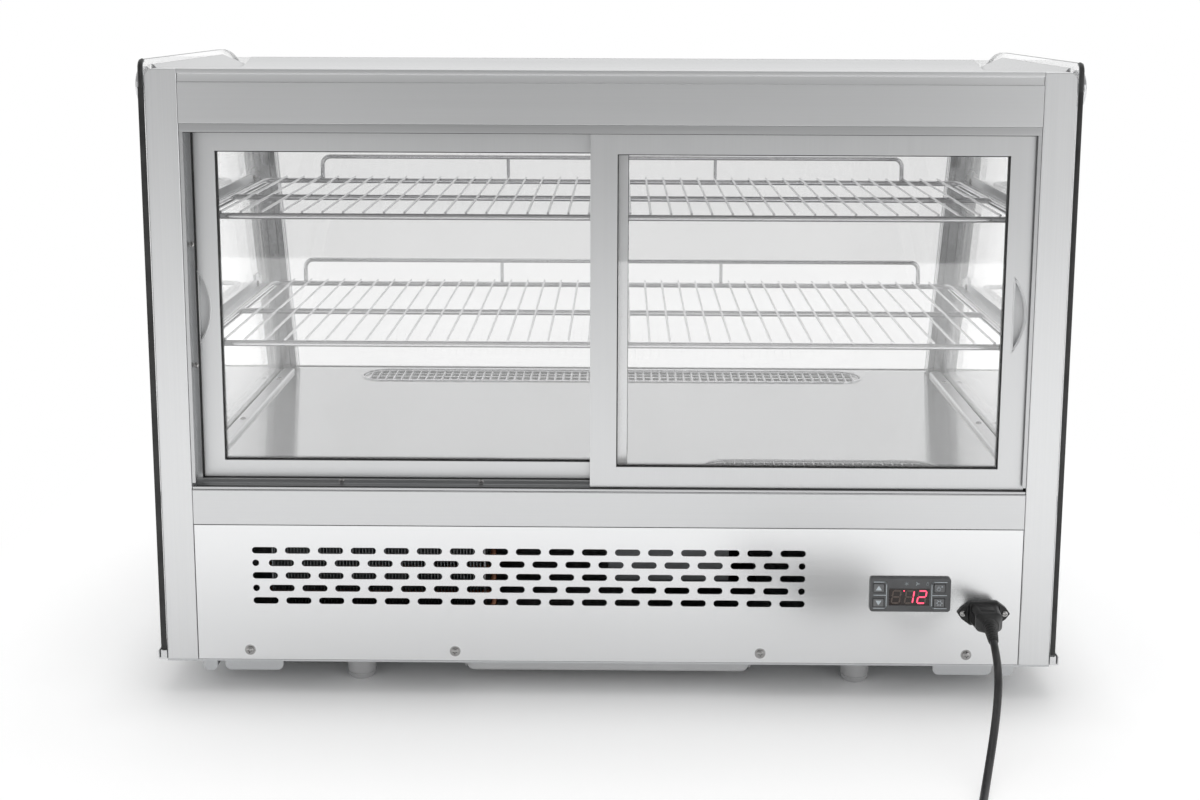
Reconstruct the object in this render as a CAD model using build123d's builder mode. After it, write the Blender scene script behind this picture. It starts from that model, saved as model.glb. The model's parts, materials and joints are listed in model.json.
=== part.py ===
from build123d import *
import os
from math import sin, cos, tan, asin, sqrt, radians, degrees, pi, atan

# Countertop refrigerated bakery display case, operator's side facing -Y.
# X runs along the doors, +Y towards the customer's curved glass, Z up.
# Depths are given as v, measured from the rear plane of the posts.
os.makedirs("parts", exist_ok=True)

# ---------------- driving dimensions (mm) ----------------
GLASS_OUT = 430.5        # outer face of the side glass
GLASS_T = 5.0
SILL_OUT = 434.0
KNOB_PROUD = 6.0
POST_IN, POST_OUT = 395.5, 425.5
POST_D = 24.0
TOP_Z = 603.0            # top of the posts and the rear header
GLASS_TOP = 611.0
GLASS_BOT = 44.0
BASE_Z = 35.0            # top of the bottom pan
PANEL_TOP = 170.0
RAIL_TOP = 204.9
OPEN_TOP = 553.2
DECK_Z = 202.0
V_MIN, V_MAX = -4.4, 538.4
YS = -(V_MIN + V_MAX) / 2
# customer's side profile: gentle top arc, leaning front, rolled foot
ARC_V, ARC_Z, ARC_R = 281.0, 426.0, 185.0
SLOPE = 0.32
SLOPE_V, SLOPE_Z = 423.0, 468.0
FOOT_V, FOOT_Z, FOOT_R = 402.5, 86.0, 135.9
CORNER_R = 25.0
# doors
DOOR_T = 10.0
DOOR_Z0, DOOR_Z1 = 206.9, 549.5
V_DOOR_R, V_DOOR_L = 5.5, 20.5
WIN_Z0, WIN_Z1 = 228.0, 526.0
STILE = 25.0
# vents
SLOT_L, SLOT_W, SLOT_PITCH, ROW_PITCH, VENT_X0, VENT_Z0 = 24.2, 6.5, 31.55, 12.57, -328.2, 145.0
# shelves
WIRE_R, BAR_R, WIRE_PITCH, WIRES = 1.25, 3.0, 19.5, 39
SHELF_HALF = 396.0
# thermostat and inlet
TH_X, TH_Z, TH_W, TH_H = 289.0, 106.0, 77.0, 34.0
IN_X, IN_Z = 359.7, 87.6
# cord
CORD_D = 7.2

ALPHA = atan(SLOPE)


def Y(v):
    return v + YS


def slope_v(z, d):
    """Depth of the leaning front, d inside the outer surface, at height z."""
    return SLOPE_V - d / cos(ALPHA) + (SLOPE_Z - z) * SLOPE


def corner(d):
    """Where the top arc meets the leaning front, d inside the outer surface."""
    r = ARC_R - d
    lo, hi = radians(20), radians(60)
    for _ in range(60):
        m = (lo + hi) / 2
        if ARC_V + r * sin(m) < slope_v(ARC_Z + r * cos(m), d):
            lo = m
        else:
            hi = m
    return lo


def arc_point(d, a):
    return (Y(ARC_V + (ARC_R - d) * sin(a)), ARC_Z + (ARC_R - d) * cos(a))


def foot_point(d, a):
    return (Y(FOOT_V + (FOOT_R - d) * cos(a)), FOOT_Z + (FOOT_R - d) * sin(a))


def slab(x0, x1, v0, v1, z0, z1, mode=Mode.ADD):
    with Locations(((x0 + x1) / 2, Y((v0 + v1) / 2), (z0 + z1) / 2)):
        Box(abs(x1 - x0), abs(v1 - v0), abs(z1 - z0), mode=mode)


def rod_x(x0, x1, v, z, r, mode=Mode.ADD):
    with Locations(Location(((x0 + x1) / 2, Y(v), z), (0, 90, 0))):
        Cylinder(r, abs(x1 - x0), mode=mode)


def rod_y(x, v0, v1, z, r, mode=Mode.ADD):
    with Locations(Location((x, Y((v0 + v1) / 2), z), (90, 0, 0))):
        Cylinder(r, abs(v1 - v0), mode=mode)


def rod_z(x, v, z0, z1, r, mode=Mode.ADD):
    with Locations((x, Y(v), (z0 + z1) / 2)):
        Cylinder(r, abs(z1 - z0), mode=mode)


def write(part, name):
    part.label = name
    export_step(part, "parts/" + name + ".step")


# ---------------- base ----------------
# bottom pan with the folded side casings of the machine compartment
with BuildPart() as base_pan:
    slab(-425.3, 425.3, 0.0, 526.0, 33.0, BASE_Z)
    for s in (-1, 1):
        slab(s * 421.5, s * 423.5, 25.0, 502.0, BASE_Z, 203.0)
write(base_pan.part, "base_pan")

with BuildPart() as base_skids:
    for s in (-1, 1):
        slab(s * 381, s * 395, 14, 508, 16.8, 33)
        slab(s * 317, s * 374, 16, 486, 16.8, 33)
    fillet(base_skids.part.edges().filter_by(Axis.Y).group_by(Axis.Z)[0], 6)
write(base_skids.part, "base_skids")

with BuildPart() as drip_tray:
    slab(-142, 142, 16, 450, 16, 33)
    fillet(drip_tray.part.edges().filter_by(Axis.Z), 14)
    fillet(drip_tray.part.faces().sort_by(Axis.Z)[0].edges(), 8)
    slab(-138, 138, 20, 446, 18.5, 33, mode=Mode.SUBTRACT)
write(drip_tray.part, "drip_tray")

with BuildPart() as feet:
    for fx in (-245, 245):
        for fv in (45, 465):
            with Locations((fx, Y(fv), 16.5)):
                Cone(13.0, 16.0, 33.0)
    chamfer(feet.part.faces().filter_by(Axis.Z).group_by(Axis.Z)[0].edges(), 1.5)
write(feet.part, "feet")

# channel that the side glass stands in, and the front sill
with BuildPart() as glass_sills:
    for s in (-1, 1):
        slab(s * 425.5, s * SILL_OUT, -1.0, 529.0, BASE_Z, 36.5)
        slab(s * 425.5, s * 431.5, -1.0, 529.0, 36.5, 43.8)
        slab(s * 432.8, s * SILL_OUT, -1.0, 529.0, 36.5, 44.0)
    slab(-425.3, 425.3, 519.0, 529.0, BASE_Z, 43.8)
write(glass_sills.part, "glass_sills")

# ---------------- rear frame ----------------
with BuildPart() as rear_posts:
    for s in (-1, 1):
        slab(s * POST_IN, s * 425.4, 0, POST_D, BASE_Z, TOP_Z)
    fillet(rear_posts.part.edges().filter_by(Axis.Y).group_by(Axis.Z)[-1].group_by(Axis.X)[0], 8)
    fillet(rear_posts.part.edges().filter_by(Axis.Y).group_by(Axis.Z)[-1].group_by(Axis.X)[-1], 8)
    fillet(rear_posts.part.edges().filter_by(Axis.Z).group_by(Axis.Y)[0], 1.2)
    for s in (-1, 1):
        slab(s * (POST_IN + 1.5), s * 423.9, 2.0, POST_D, BASE_Z + 2, TOP_Z - 12, mode=Mode.SUBTRACT)
write(rear_posts.part, "rear_posts")

with BuildPart() as rear_header:
    slab(-395.3, 395.3, 0, POST_D, OPEN_TOP, TOP_Z)
    slab(-395.3, 395.3, -1, 1.2, 591.0, 598.6, mode=Mode.SUBTRACT)
    slab(-396, 396, 2.0, POST_D + 1, OPEN_TOP + 1.5, 589.0, mode=Mode.SUBTRACT)
write(rear_header.part, "rear_header")

with BuildPart() as rear_base_rail:
    slab(-395.3, 395.3, 0, POST_D, PANEL_TOP + 0.3, RAIL_TOP)
    fillet(rear_base_rail.part.edges().filter_by(Axis.X).group_by(Axis.Y)[0].group_by(Axis.Z)[-1], 1.2)
    slab(-396, 396, 2.0, POST_D + 1, PANEL_TOP + 1.8, RAIL_TOP - 1.5, mode=Mode.SUBTRACT)
write(rear_base_rail.part, "rear_base_rail")

# service panel with five staggered rows of vent slots
with BuildPart() as service_panel:
    slab(-394.8, 394.8, 0, 1.5, 35.2, 169.8)
    for s in (-1, 1):
        slab(s * 393.3, s * 394.8, 1.5, 14, 35.2, 169.8)
    with BuildSketch(Plane.XZ.offset(-Y(5))) as vents:
        for row in range(5):
            z = VENT_Z0 - ROW_PITCH * row
            if row % 2 == 0:
                with Locations(*[(VENT_X0 + SLOT_PITCH * i, z) for i in range(17)]):
                    SlotOverall(SLOT_L, SLOT_W)
            else:
                with Locations(*[(VENT_X0 + SLOT_PITCH * (i + 0.5), z) for i in range(16)]):
                    SlotOverall(SLOT_L, SLOT_W)
                with Locations((VENT_X0 - 8.85, z), (VENT_X0 + SLOT_PITCH * 16 + 8.85, z)):
                    Circle(SLOT_W / 2)
        with Locations((TH_X, TH_Z)):
            Rectangle(71, 29)
        with Locations((IN_X, IN_Z)):
            Rectangle(29, 21)
        with Locations((-345, 44.5), (-147, 44.5), (147, 44.5), (345, 44.5)):
            Circle(2.2)
    extrude(amount=10, mode=Mode.SUBTRACT)
write(service_panel.part, "service_panel")

with BuildPart() as panel_screws:
    for x in (-345, -147, 147, 345):
        rod_y(x, -1.8, 0, 44.5, 3.75)
    fillet(panel_screws.part.faces().filter_by(Axis.Y).group_by(Axis.Y)[0].edges(), 1.2)
    for x in (-345, -147, 147, 345):
        rod_y(x, 0, 9, 44.5, 2.0)
        with Locations((x, Y(-1.4), 44.5)):
            Box(4.2, 0.9, 0.9, mode=Mode.SUBTRACT)
            Box(0.9, 0.9, 4.2, mode=Mode.SUBTRACT)
write(panel_screws.part, "panel_screws")

# ---------------- glazing ----------------
KNOBS = [(27.0, 586.5, 17.5), (330.0, 584.0, 10.0), (28.0, 186.5, 10.0), (505.0, 120.0, 10.0)]
with BuildPart() as side_glass:
    with BuildSketch(Plane.YZ.offset(-GLASS_OUT)):
        with BuildLine():
            a = corner(0)
            p_top = (Y(ARC_V), GLASS_TOP)
            p_cor = arc_point(0, a)
            Line((Y(0), GLASS_TOP), p_top)
            ThreePointArc(p_top, arc_point(0, a / 2), p_cor)
            p_ft = foot_point(0, ALPHA)
            Line(p_cor, p_ft)
            ThreePointArc(p_ft, foot_point(0, 0), foot_point(0, -ALPHA))
            p_low = foot_point(0, -ALPHA)
            Line(p_low, (p_low[0], GLASS_BOT))
            Line((p_low[0], GLASS_BOT), (Y(0), GLASS_BOT))
            Line((Y(0), GLASS_BOT), (Y(0), GLASS_TOP))
        make_face()
    extrude(amount=GLASS_T)
    x_mid = -GLASS_OUT + GLASS_T / 2
    fillet(side_glass.part.edges().filter_by(Axis.X).sort_by_distance((x_mid, p_cor[0], p_cor[1]))[0], CORNER_R)
    fillet(side_glass.part.edges().filter_by(Axis.X).sort_by_distance((x_mid, Y(0), GLASS_TOP))[0], 8)
    for (kv, kz, kr) in KNOBS:
        rod_x(-GLASS_OUT - 1, -GLASS_OUT + GLASS_T + 1, kv, kz, 5.2, mode=Mode.SUBTRACT)
    mirror(about=Plane.YZ)
write(side_glass.part, "side_glass")

with BuildPart() as inner_panes:
    with BuildSketch(Plane.YZ.offset(-419)):
        with BuildLine():
            Polyline((Y(26), 206), (Y(26), 582), (Y(300), 582), (Y(332), 575), (Y(slope_v(560, 28)), 560),
                     (Y(slope_v(206, 28)), 206), close=True)
        make_face()
    extrude(amount=4)
    mirror(about=Plane.YZ)
write(inner_panes.part, "inner_panes")

with BuildPart() as glass_knobs:
    for (kv, kz, kr) in KNOBS:
        for s in (-1, 1):
            proud = KNOB_PROUD if kr > 12 else 3.0
            rod_x(s * GLASS_OUT, s * (GLASS_OUT + proud), kv, kz, kr)
    chamfer(glass_knobs.part.faces().filter_by(Axis.X).group_by(Axis.X)[0].edges(), 1.0)
    chamfer(glass_knobs.part.faces().filter_by(Axis.X).group_by(Axis.X)[-1].edges(), 1.0)
    for (kv, kz, kr) in KNOBS:
        for s in (-1, 1):
            rod_x(s * (GLASS_OUT - GLASS_T + 0.1), s * GLASS_OUT, kv, kz, 4.8)
write(glass_knobs.part, "glass_knobs")

with BuildPart() as front_glass:
    with BuildSketch(Plane.YZ.offset(-425.2)):
        with BuildLine():
            ao, ai = corner(1), corner(5)
            so, si = asin((338 - ARC_V) / (ARC_R - 1)), asin((338 - ARC_V) / (ARC_R - 5))
            o1, o2, o3 = arc_point(1, so), arc_point(1, (so + ao) / 2), arc_point(1, ao)
            i1, i2, i3 = arc_point(5, si), arc_point(5, (si + ai) / 2), arc_point(5, ai)
            o4, i4 = (Y(slope_v(204, 1)), 204), (Y(slope_v(204, 5)), 204)
            ThreePointArc(o1, o2, o3)
            Line(o3, o4)
            Line(o4, i4)
            Line(i4, i3)
            ThreePointArc(i3, i2, i1)
            Line(i1, o1)
        make_face()
    extrude(amount=850.4)
    fillet(front_glass.part.edges().filter_by(Axis.X).sort_by_distance((0, o3[0], o3[1]))[0], CORNER_R - 1)
    fillet(front_glass.part.edges().filter_by(Axis.X).sort_by_distance((0, i3[0], i3[1]))[0], CORNER_R - 5)
write(front_glass.part, "front_glass")

with BuildPart() as front_lower_panel:
    with BuildSketch(Plane.YZ.offset(-425.2)):
        with BuildLine():
            t_o, t_i = (Y(slope_v(203, 1)), 203), (Y(slope_v(203, 2.6)), 203)
            Line(t_o, foot_point(1, ALPHA))
            ThreePointArc(foot_point(1, ALPHA), foot_point(1, 0), foot_point(1, -ALPHA * 0.99))
            Line(foot_point(1, -ALPHA * 0.99), foot_point(2.6, -ALPHA * 0.99))
            ThreePointArc(foot_point(2.6, -ALPHA * 0.99), foot_point(2.6, 0), foot_point(2.6, ALPHA))
            Line(foot_point(2.6, ALPHA), t_i)
            Line(t_i, t_o)
        make_face()
    extrude(amount=850.4)
write(front_lower_panel.part, "front_lower_panel")

# ---------------- roof ----------------
with BuildPart() as roof_pan:
    with BuildSketch(Plane.XZ.offset(-Y(334))) as roof_sec:
        with BuildLine():
            Polyline((-425.2, 606), (-425.2, 588.4), (425.2, 588.4), (425.2, 606), (423.4, 606), (408, 590),
                     (-408, 590), (-423.4, 606), close=True)
        make_face()
    extrude(amount=334 - 24.2)
    with BuildSketch(Plane.YZ.offset(-430)) as roof_cut:
        with BuildLine():
            Polyline((Y(276), 607), (Y(276), 606), (Y(334), 591.4), (Y(336), 591.4), (Y(336), 607), close=True)
        make_face()
    extrude(amount=860, mode=Mode.SUBTRACT)
write(roof_pan.part, "roof_pan")

with BuildPart() as ceiling_panel:
    slab(-413, 413, 34.5, 321, 553.6, 556)
write(ceiling_panel.part, "ceiling_panel")

with BuildPart() as front_header:
    with BuildSketch(Plane.YZ.offset(-396)):
        with BuildLine():
            Polyline((Y(322), 588.2), (Y(334), 588.2), (Y(350), 574), (Y(348), 560), (Y(322), 553.6), close=True)
        make_face()
    extrude(amount=792)
write(front_header.part, "front_header")

with BuildPart() as led_lamp:
    slab(-350, 350, 298, 316, 543.5, 553.5)
    fillet(led_lamp.part.edges().filter_by(Axis.X).group_by(Axis.Z)[0], 4)
write(led_lamp.part, "led_lamp")

with BuildPart() as front_posts:
    with BuildSketch(Plane.YZ.offset(-421)):
        with BuildLine():
            Polyline((Y(slope_v(204, 26.5)), 204), (Y(slope_v(204, 6)), 204), (Y(slope_v(566, 6)), 566),
                     (Y(slope_v(566, 26.5)), 566), close=True)
        make_face()
    extrude(amount=24)
    mirror(about=Plane.YZ)
write(front_posts.part, "front_posts")

# ---------------- deck ----------------
FAR_V, FAR_W, FAR_L = 462.0, 56.0, 620.0
NEAR_V, NEAR_W, NEAR_L, NEAR_X = 85.0, 54.0, 241.0, 212.5
with BuildPart() as deck:
    slab(-413.0, 413.0, 25, 500, 200.5, DECK_Z)
    with BuildSketch(Plane.XY.offset(DECK_Z + 1)):
        with Locations((0, Y(FAR_V))):
            SlotOverall(FAR_L, FAR_W)
        with Locations((-NEAR_X, Y(NEAR_V)), (NEAR_X, Y(NEAR_V))):
            SlotOverall(NEAR_L, NEAR_W)
    extrude(amount=-5, mode=Mode.SUBTRACT)
write(deck.part, "deck")

with BuildPart() as deck_side_sills:
    for s in (-1, 1):
        slab(s * 398.5, s * 413.2, 34.5, 474, DECK_Z, 207)
    chamfer(deck_side_sills.part.edges().filter_by(Axis.Y).group_by(Axis.Z)[-1], 1.5)
write(deck_side_sills.part, "deck_side_sills")

with BuildPart() as air_grille_far:
    slab(-FAR_L / 2 - 5, FAR_L / 2 + 5, FAR_V - 33, FAR_V + 33, 199.0, 200.4)
    with BuildSketch(Plane.XY.offset(201)):
        with Locations(*[(-295 + 10 * i, Y(FAR_V + r)) for i in range(60) for r in (-13, 13)]):
            Rectangle(7.2, 22)
    extrude(amount=-5, mode=Mode.SUBTRACT)
write(air_grille_far.part, "air_grille_far")

with BuildPart() as air_grilles_near:
    for s in (-1, 1):
        slab(s * (NEAR_X - NEAR_L / 2 - 5), s * (NEAR_X + NEAR_L / 2 + 5), NEAR_V - 32, NEAR_V + 32, 199.0, 200.4)
    with BuildSketch(Plane.XY.offset(201)):
        with Locations(*[(s * NEAR_X - 105 + 10 * i, Y(NEAR_V + r)) for s in (-1, 1) for i in range(22) for r in (-12.5, 12.5)]):
            Rectangle(7.2, 21)
    extrude(amount=-5, mode=Mode.SUBTRACT)
write(air_grilles_near.part, "air_grilles_near")

# insulated tub that holds the evaporator under the deck
with BuildPart() as insulated_tub:
    slab(-413, 413, 25, 500, 148, 198.9)
    slab(-401, 401, 37, 494, 162, 199.5, mode=Mode.SUBTRACT)
write(insulated_tub.part, "insulated_tub")

# ---------------- door tracks ----------------
LIPS = [(1.0, 2.6), (17.0, 18.6), (32.2, 33.8)]
with BuildPart() as door_track_top:
    slab(-395.2, 395.2, 1.0, 33.8, 551.6, 553.1)
    for (a0, a1) in LIPS:
        slab(-395.2, 395.2, a0, a1, 545.2, 551.6)
write(door_track_top.part, "door_track_top")

with BuildPart() as door_track_bottom:
    slab(-395.2, 395.2, 1.0, 33.8, 205.0, 206.2)
    for (a0, a1), top in zip(LIPS, (207.4, 211.0, 211.0)):
        slab(-395.2, 395.2, a0, a1, 206.2, top)
write(door_track_bottom.part, "door_track_bottom")

with BuildPart() as door_track_sides:
    for s in (-1, 1):
        slab(s * 394.5, s * 395.2, 1.0, 33.8, 211.1, 545.1)
        for (a0, a1), inner in zip(LIPS, (392.0, 389.5, 389.5)):
            slab(s * inner, s * 394.5, a0, a1, 211.1, 545.1)
write(door_track_sides.part, "door_track_sides")

# small screws: on the middle track lip, on the deck sills, on the inlet
TRACK_SCREWS = [(-256, 548.3), (-122, 548.3), (122, 548.3), (256, 548.3),
                (-256, 208.6), (-122, 208.6), (122, 208.6), (256, 208.6),
                (-392, 438), (-392, 322), (392, 438), (392, 322)]
with BuildPart() as small_screws:
    for (x, z) in TRACK_SCREWS:
        rod_y(x, 16.1, 17.0, z, 2.3)
    for s in (-1, 1):
        for v in (70, 240, 420):
            rod_z(s * 406, v, 207.0, 208.4, 3.4)
        for z in (452.5, 328.5):
            for v in (52, 356):
                rod_x(s * 411.6, s * 413.3, v, z + 9.0, 3.2)
        rod_y(IN_X + s * 20, -4.2, -3.0, IN_Z, 3.1)
write(small_screws.part, "small_screws")

# ---------------- sliding doors ----------------
PULL_Z, PULL_H, PULL_W, PULL_DEEP = 377.0, 73.0, 12.0, 6.0
DOORS = {"right": (-17.5, 394.0, V_DOOR_R, 377.0), "left": (-393.5, 17.5, V_DOOR_L, -389.0)}

dx0, dx1, dv, px = DOORS["right"]
with BuildPart() as door_right_frame:
    slab(dx0, dx1, dv, dv + DOOR_T, DOOR_Z0, DOOR_Z1)
    slab(dx0 + STILE, dx1 - STILE, dv - 1, dv + DOOR_T + 1, WIN_Z0, WIN_Z1, mode=Mode.SUBTRACT)
    slab(dx0 + STILE - 8, dx1 - STILE + 8, dv + 2.9, dv + 7.1, WIN_Z0 - 8, WIN_Z1 + 8, mode=Mode.SUBTRACT)
    with BuildSketch(Plane.XZ.offset(-Y(dv + PULL_DEEP))):
        with BuildLine():
            Line((px, PULL_Z + PULL_H / 2), (px, PULL_Z - PULL_H / 2))
            ThreePointArc((px, PULL_Z - PULL_H / 2), (px + PULL_W, PULL_Z), (px, PULL_Z + PULL_H / 2))
        make_face()
    extrude(amount=PULL_DEEP + 1, mode=Mode.SUBTRACT)
write(door_right_frame.part, "door_right_frame")

with BuildPart() as door_right_glass:
    slab(dx0 + STILE - 7, dx1 - STILE + 7, dv + 3, dv + 7, WIN_Z0 - 7, WIN_Z1 + 7)
write(door_right_glass.part, "door_right_glass")

with BuildPart() as door_right_pull:
    with BuildSketch(Plane.XZ.offset(-Y(dv + PULL_DEEP - 0.1))):
        with BuildLine():
            Line((px + 0.3, PULL_Z + 34.6), (px + 0.3, PULL_Z - 34.6))
            ThreePointArc((px + 0.3, PULL_Z - 34.6), (px + 11.7, PULL_Z), (px + 0.3, PULL_Z + 34.6))
        make_face()
    extrude(amount=PULL_DEEP - 0.1)
    with BuildSketch(Plane.XZ.offset(-Y(dv + PULL_DEEP - 0.9))):
        with BuildLine():
            Line((px + 1.3, PULL_Z + 31.5), (px + 1.3, PULL_Z - 31.5))
            ThreePointArc((px + 1.3, PULL_Z - 31.5), (px + 10.7, PULL_Z), (px + 1.3, PULL_Z + 31.5))
        make_face()
    extrude(amount=PULL_DEEP + 1, mode=Mode.SUBTRACT)
write(door_right_pull.part, "door_right_pull")

lx0, lx1, lv, lpx = DOORS["left"]
with BuildPart() as door_left_frame:
    slab(lx0, lx1, lv, lv + DOOR_T, DOOR_Z0, DOOR_Z1)
    slab(lx0 + STILE, lx1 - STILE, lv - 1, lv + DOOR_T + 1, WIN_Z0, WIN_Z1, mode=Mode.SUBTRACT)
    slab(lx0 + STILE - 8, lx1 - STILE + 8, lv + 2.9, lv + 7.1, WIN_Z0 - 8, WIN_Z1 + 8, mode=Mode.SUBTRACT)
    with BuildSketch(Plane.XZ.offset(-Y(lv + PULL_DEEP))):
        with BuildLine():
            Line((lpx, PULL_Z + PULL_H / 2), (lpx, PULL_Z - PULL_H / 2))
            ThreePointArc((lpx, PULL_Z - PULL_H / 2), (lpx + PULL_W, PULL_Z), (lpx, PULL_Z + PULL_H / 2))
        make_face()
    extrude(amount=PULL_DEEP + 1, mode=Mode.SUBTRACT)
write(door_left_frame.part, "door_left_frame")

with BuildPart() as door_left_glass:
    slab(lx0 + STILE - 7, lx1 - STILE + 7, lv + 3, lv + 7, WIN_Z0 - 7, WIN_Z1 + 7)
write(door_left_glass.part, "door_left_glass")

with BuildPart() as door_left_pull:
    with BuildSketch(Plane.XZ.offset(-Y(lv + PULL_DEEP - 0.1))):
        with BuildLine():
            Line((lpx + 0.3, PULL_Z + 34.6), (lpx + 0.3, PULL_Z - 34.6))
            ThreePointArc((lpx + 0.3, PULL_Z - 34.6), (lpx + 11.7, PULL_Z), (lpx + 0.3, PULL_Z + 34.6))
        make_face()
    extrude(amount=PULL_DEEP - 0.1)
    with BuildSketch(Plane.XZ.offset(-Y(lv + PULL_DEEP - 0.9))):
        with BuildLine():
            Line((lpx + 1.3, PULL_Z + 31.5), (lpx + 1.3, PULL_Z - 31.5))
            ThreePointArc((lpx + 1.3, PULL_Z - 31.5), (lpx + 10.7, PULL_Z), (lpx + 1.3, PULL_Z + 31.5))
        make_face()
    extrude(amount=PULL_DEEP + 1, mode=Mode.SUBTRACT)
write(door_left_pull.part, "door_left_pull")

# ---------------- shelves and their rails ----------------
UPPER_Z, LOWER_Z = 467.0, 343.0      # tops of the wires
with BuildPart() as shelf_rails:
    for s in (-1, 1):
        for z in (UPPER_Z - 8.8, LOWER_Z - 8.8):
            slab(s * 393, s * 414.9, 34.5, 378, z - 1.5, z)
            slab(s * 413.4, s * 414.9, 34.5, 378, z, z + 9)
            for v in (52, 356):
                slab(s * 413.4, s * 414.9, v - 8, v + 8, z, z + 15)
write(shelf_rails.part, "shelf_rails")


with BuildPart() as shelf_upper:
    zb = UPPER_Z - 2 * WIRE_R - BAR_R
    for i in range(WIRES):
        rod_y((i - (WIRES - 1) / 2) * WIRE_PITCH, 42, 334, UPPER_Z - WIRE_R, WIRE_R)
    for v in (184.0,):
        rod_x(-SHELF_HALF + BAR_R, SHELF_HALF - BAR_R, v, zb, BAR_R)
    with BuildLine() as loop_u:
        FilletPolyline((0, Y(44), zb), (-SHELF_HALF, Y(44), zb), (-SHELF_HALF, Y(332), zb), (SHELF_HALF, Y(332), zb),
                       (SHELF_HALF, Y(44), zb), (0.01, Y(44), zb), radius=10)
    with BuildSketch(Plane(origin=(0, Y(44), zb), x_dir=(0, 1, 0), z_dir=(-1, 0, 0))):
        Circle(BAR_R)
    sweep(path=loop_u.line)
    with BuildLine() as guard_u:
        FilletPolyline((-330, Y(337.6), zb), (-330, Y(337.6), zb + 27), (330, Y(337.6), zb + 27), (330, Y(337.6), zb), radius=9)
    with BuildSketch(Plane(origin=(-330, Y(337.6), zb), z_dir=(0, 0, 1))):
        Circle(2.5)
    sweep(path=guard_u.line)
    for x in (-118, 118):
        rod_z(x, 337.6, zb, zb + 25.5, 2.0)
write(shelf_upper.part, "shelf_upper")

with BuildPart() as shelf_lower:
    zb = LOWER_Z - 2 * WIRE_R - BAR_R
    for i in range(WIRES):
        rod_y((i - (WIRES - 1) / 2) * WIRE_PITCH, 42, 360, LOWER_Z - WIRE_R, WIRE_R)
    for v in (197.0,):
        rod_x(-SHELF_HALF + BAR_R, SHELF_HALF - BAR_R, v, zb, BAR_R)
    with BuildLine() as loop_l:
        FilletPolyline((0, Y(44), zb), (-SHELF_HALF, Y(44), zb), (-SHELF_HALF, Y(358), zb), (SHELF_HALF, Y(358), zb),
                       (SHELF_HALF, Y(44), zb), (0.01, Y(44), zb), radius=10)
    with BuildSketch(Plane(origin=(0, Y(44), zb), x_dir=(0, 1, 0), z_dir=(-1, 0, 0))):
        Circle(BAR_R)
    sweep(path=loop_l.line)
    with BuildLine() as guard_l:
        FilletPolyline((-358, Y(363.6), zb), (-358, Y(363.6), zb + 27), (358, Y(363.6), zb + 27), (358, Y(363.6), zb), radius=9)
    with BuildSketch(Plane(origin=(-358, Y(363.6), zb), z_dir=(0, 0, 1))):
        Circle(2.5)
    sweep(path=guard_l.line)
    for x in (-128, 128):
        rod_z(x, 363.6, zb, zb + 25.5, 2.0)
write(shelf_lower.part, "shelf_lower")

# ---------------- thermostat ----------------
KEYS = {"key_up": (-30.5, 7.0), "key_down": (-30.5, -7.5), "key_lamp": (27.5, 7.0), "key_set": (27.5, -7.5)}
with BuildPart() as thermostat_housing:
    slab(TH_X - TH_W / 2, TH_X + TH_W / 2, -3.6, 0, TH_Z - TH_H / 2, TH_Z + TH_H / 2)
    fillet(thermostat_housing.part.edges().filter_by(Axis.Y), 3)
    fillet(thermostat_housing.part.faces().sort_by(Axis.Y)[0].edges(), 1.0)
    slab(TH_X - 35, TH_X + 35, 0, 58, TH_Z - 14, TH_Z + 14)
    slab(TH_X - 20.6, TH_X + 18.0, -4, -2.4, TH_Z - 10.4, TH_Z + 6.4, mode=Mode.SUBTRACT)
    for (kx, kz) in KEYS.values():
        slab(TH_X + kx - 5.4, TH_X + kx + 5.4, -4, -0.4, TH_Z + kz - 4.4, TH_Z + kz + 4.4, mode=Mode.SUBTRACT)
write(thermostat_housing.part, "thermostat_housing")

with BuildPart() as thermostat_window:
    slab(TH_X - 20.5, TH_X + 17.9, -3.3, -2.4, TH_Z - 10.3, TH_Z + 6.3)
write(thermostat_window.part, "thermostat_window")

with BuildPart() as key_up:
    slab(TH_X - 35.5, TH_X - 25.5, V_MIN, -1.4, TH_Z + 3.0, TH_Z + 11.0)
    fillet(key_up.part.faces().sort_by(Axis.Y)[0].edges(), 0.6)
write(key_up.part, "key_up")

with BuildPart() as key_down:
    slab(TH_X - 35.5, TH_X - 25.5, V_MIN, -1.4, TH_Z - 11.5, TH_Z - 3.5)
    fillet(key_down.part.faces().sort_by(Axis.Y)[0].edges(), 0.6)
write(key_down.part, "key_down")

with BuildPart() as key_lamp:
    slab(TH_X + 22.5, TH_X + 32.5, V_MIN, -1.4, TH_Z + 3.0, TH_Z + 11.0)
    fillet(key_lamp.part.faces().sort_by(Axis.Y)[0].edges(), 0.6)
write(key_lamp.part, "key_lamp")

with BuildPart() as key_set:
    slab(TH_X + 22.5, TH_X + 32.5, V_MIN, -1.4, TH_Z - 11.5, TH_Z - 3.5)
    fillet(key_set.part.faces().sort_by(Axis.Y)[0].edges(), 0.6)
write(key_set.part, "key_set")

# ---------------- mains inlet, connector and cord ----------------
with BuildPart() as inlet_socket:
    with BuildSketch(Plane.XZ.offset(-Y(0))):
        with Locations((IN_X, IN_Z)):
            Polygon((-25, 0), (-21, 5.6), (-13, 11.5), (13, 11.5), (21, 5.6), (25, 0), (21, -5.6), (13, -11.5),
                    (-13, -11.5), (-21, -5.6), align=None)
    extrude(amount=3)
    slab(IN_X - 14, IN_X + 14, 0, 24, IN_Z - 10, IN_Z + 10)
    slab(IN_X - 12.3, IN_X + 12.3, -5, 18, IN_Z - 8.4, IN_Z + 8.4, mode=Mode.SUBTRACT)
write(inlet_socket.part, "inlet_socket")

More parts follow.
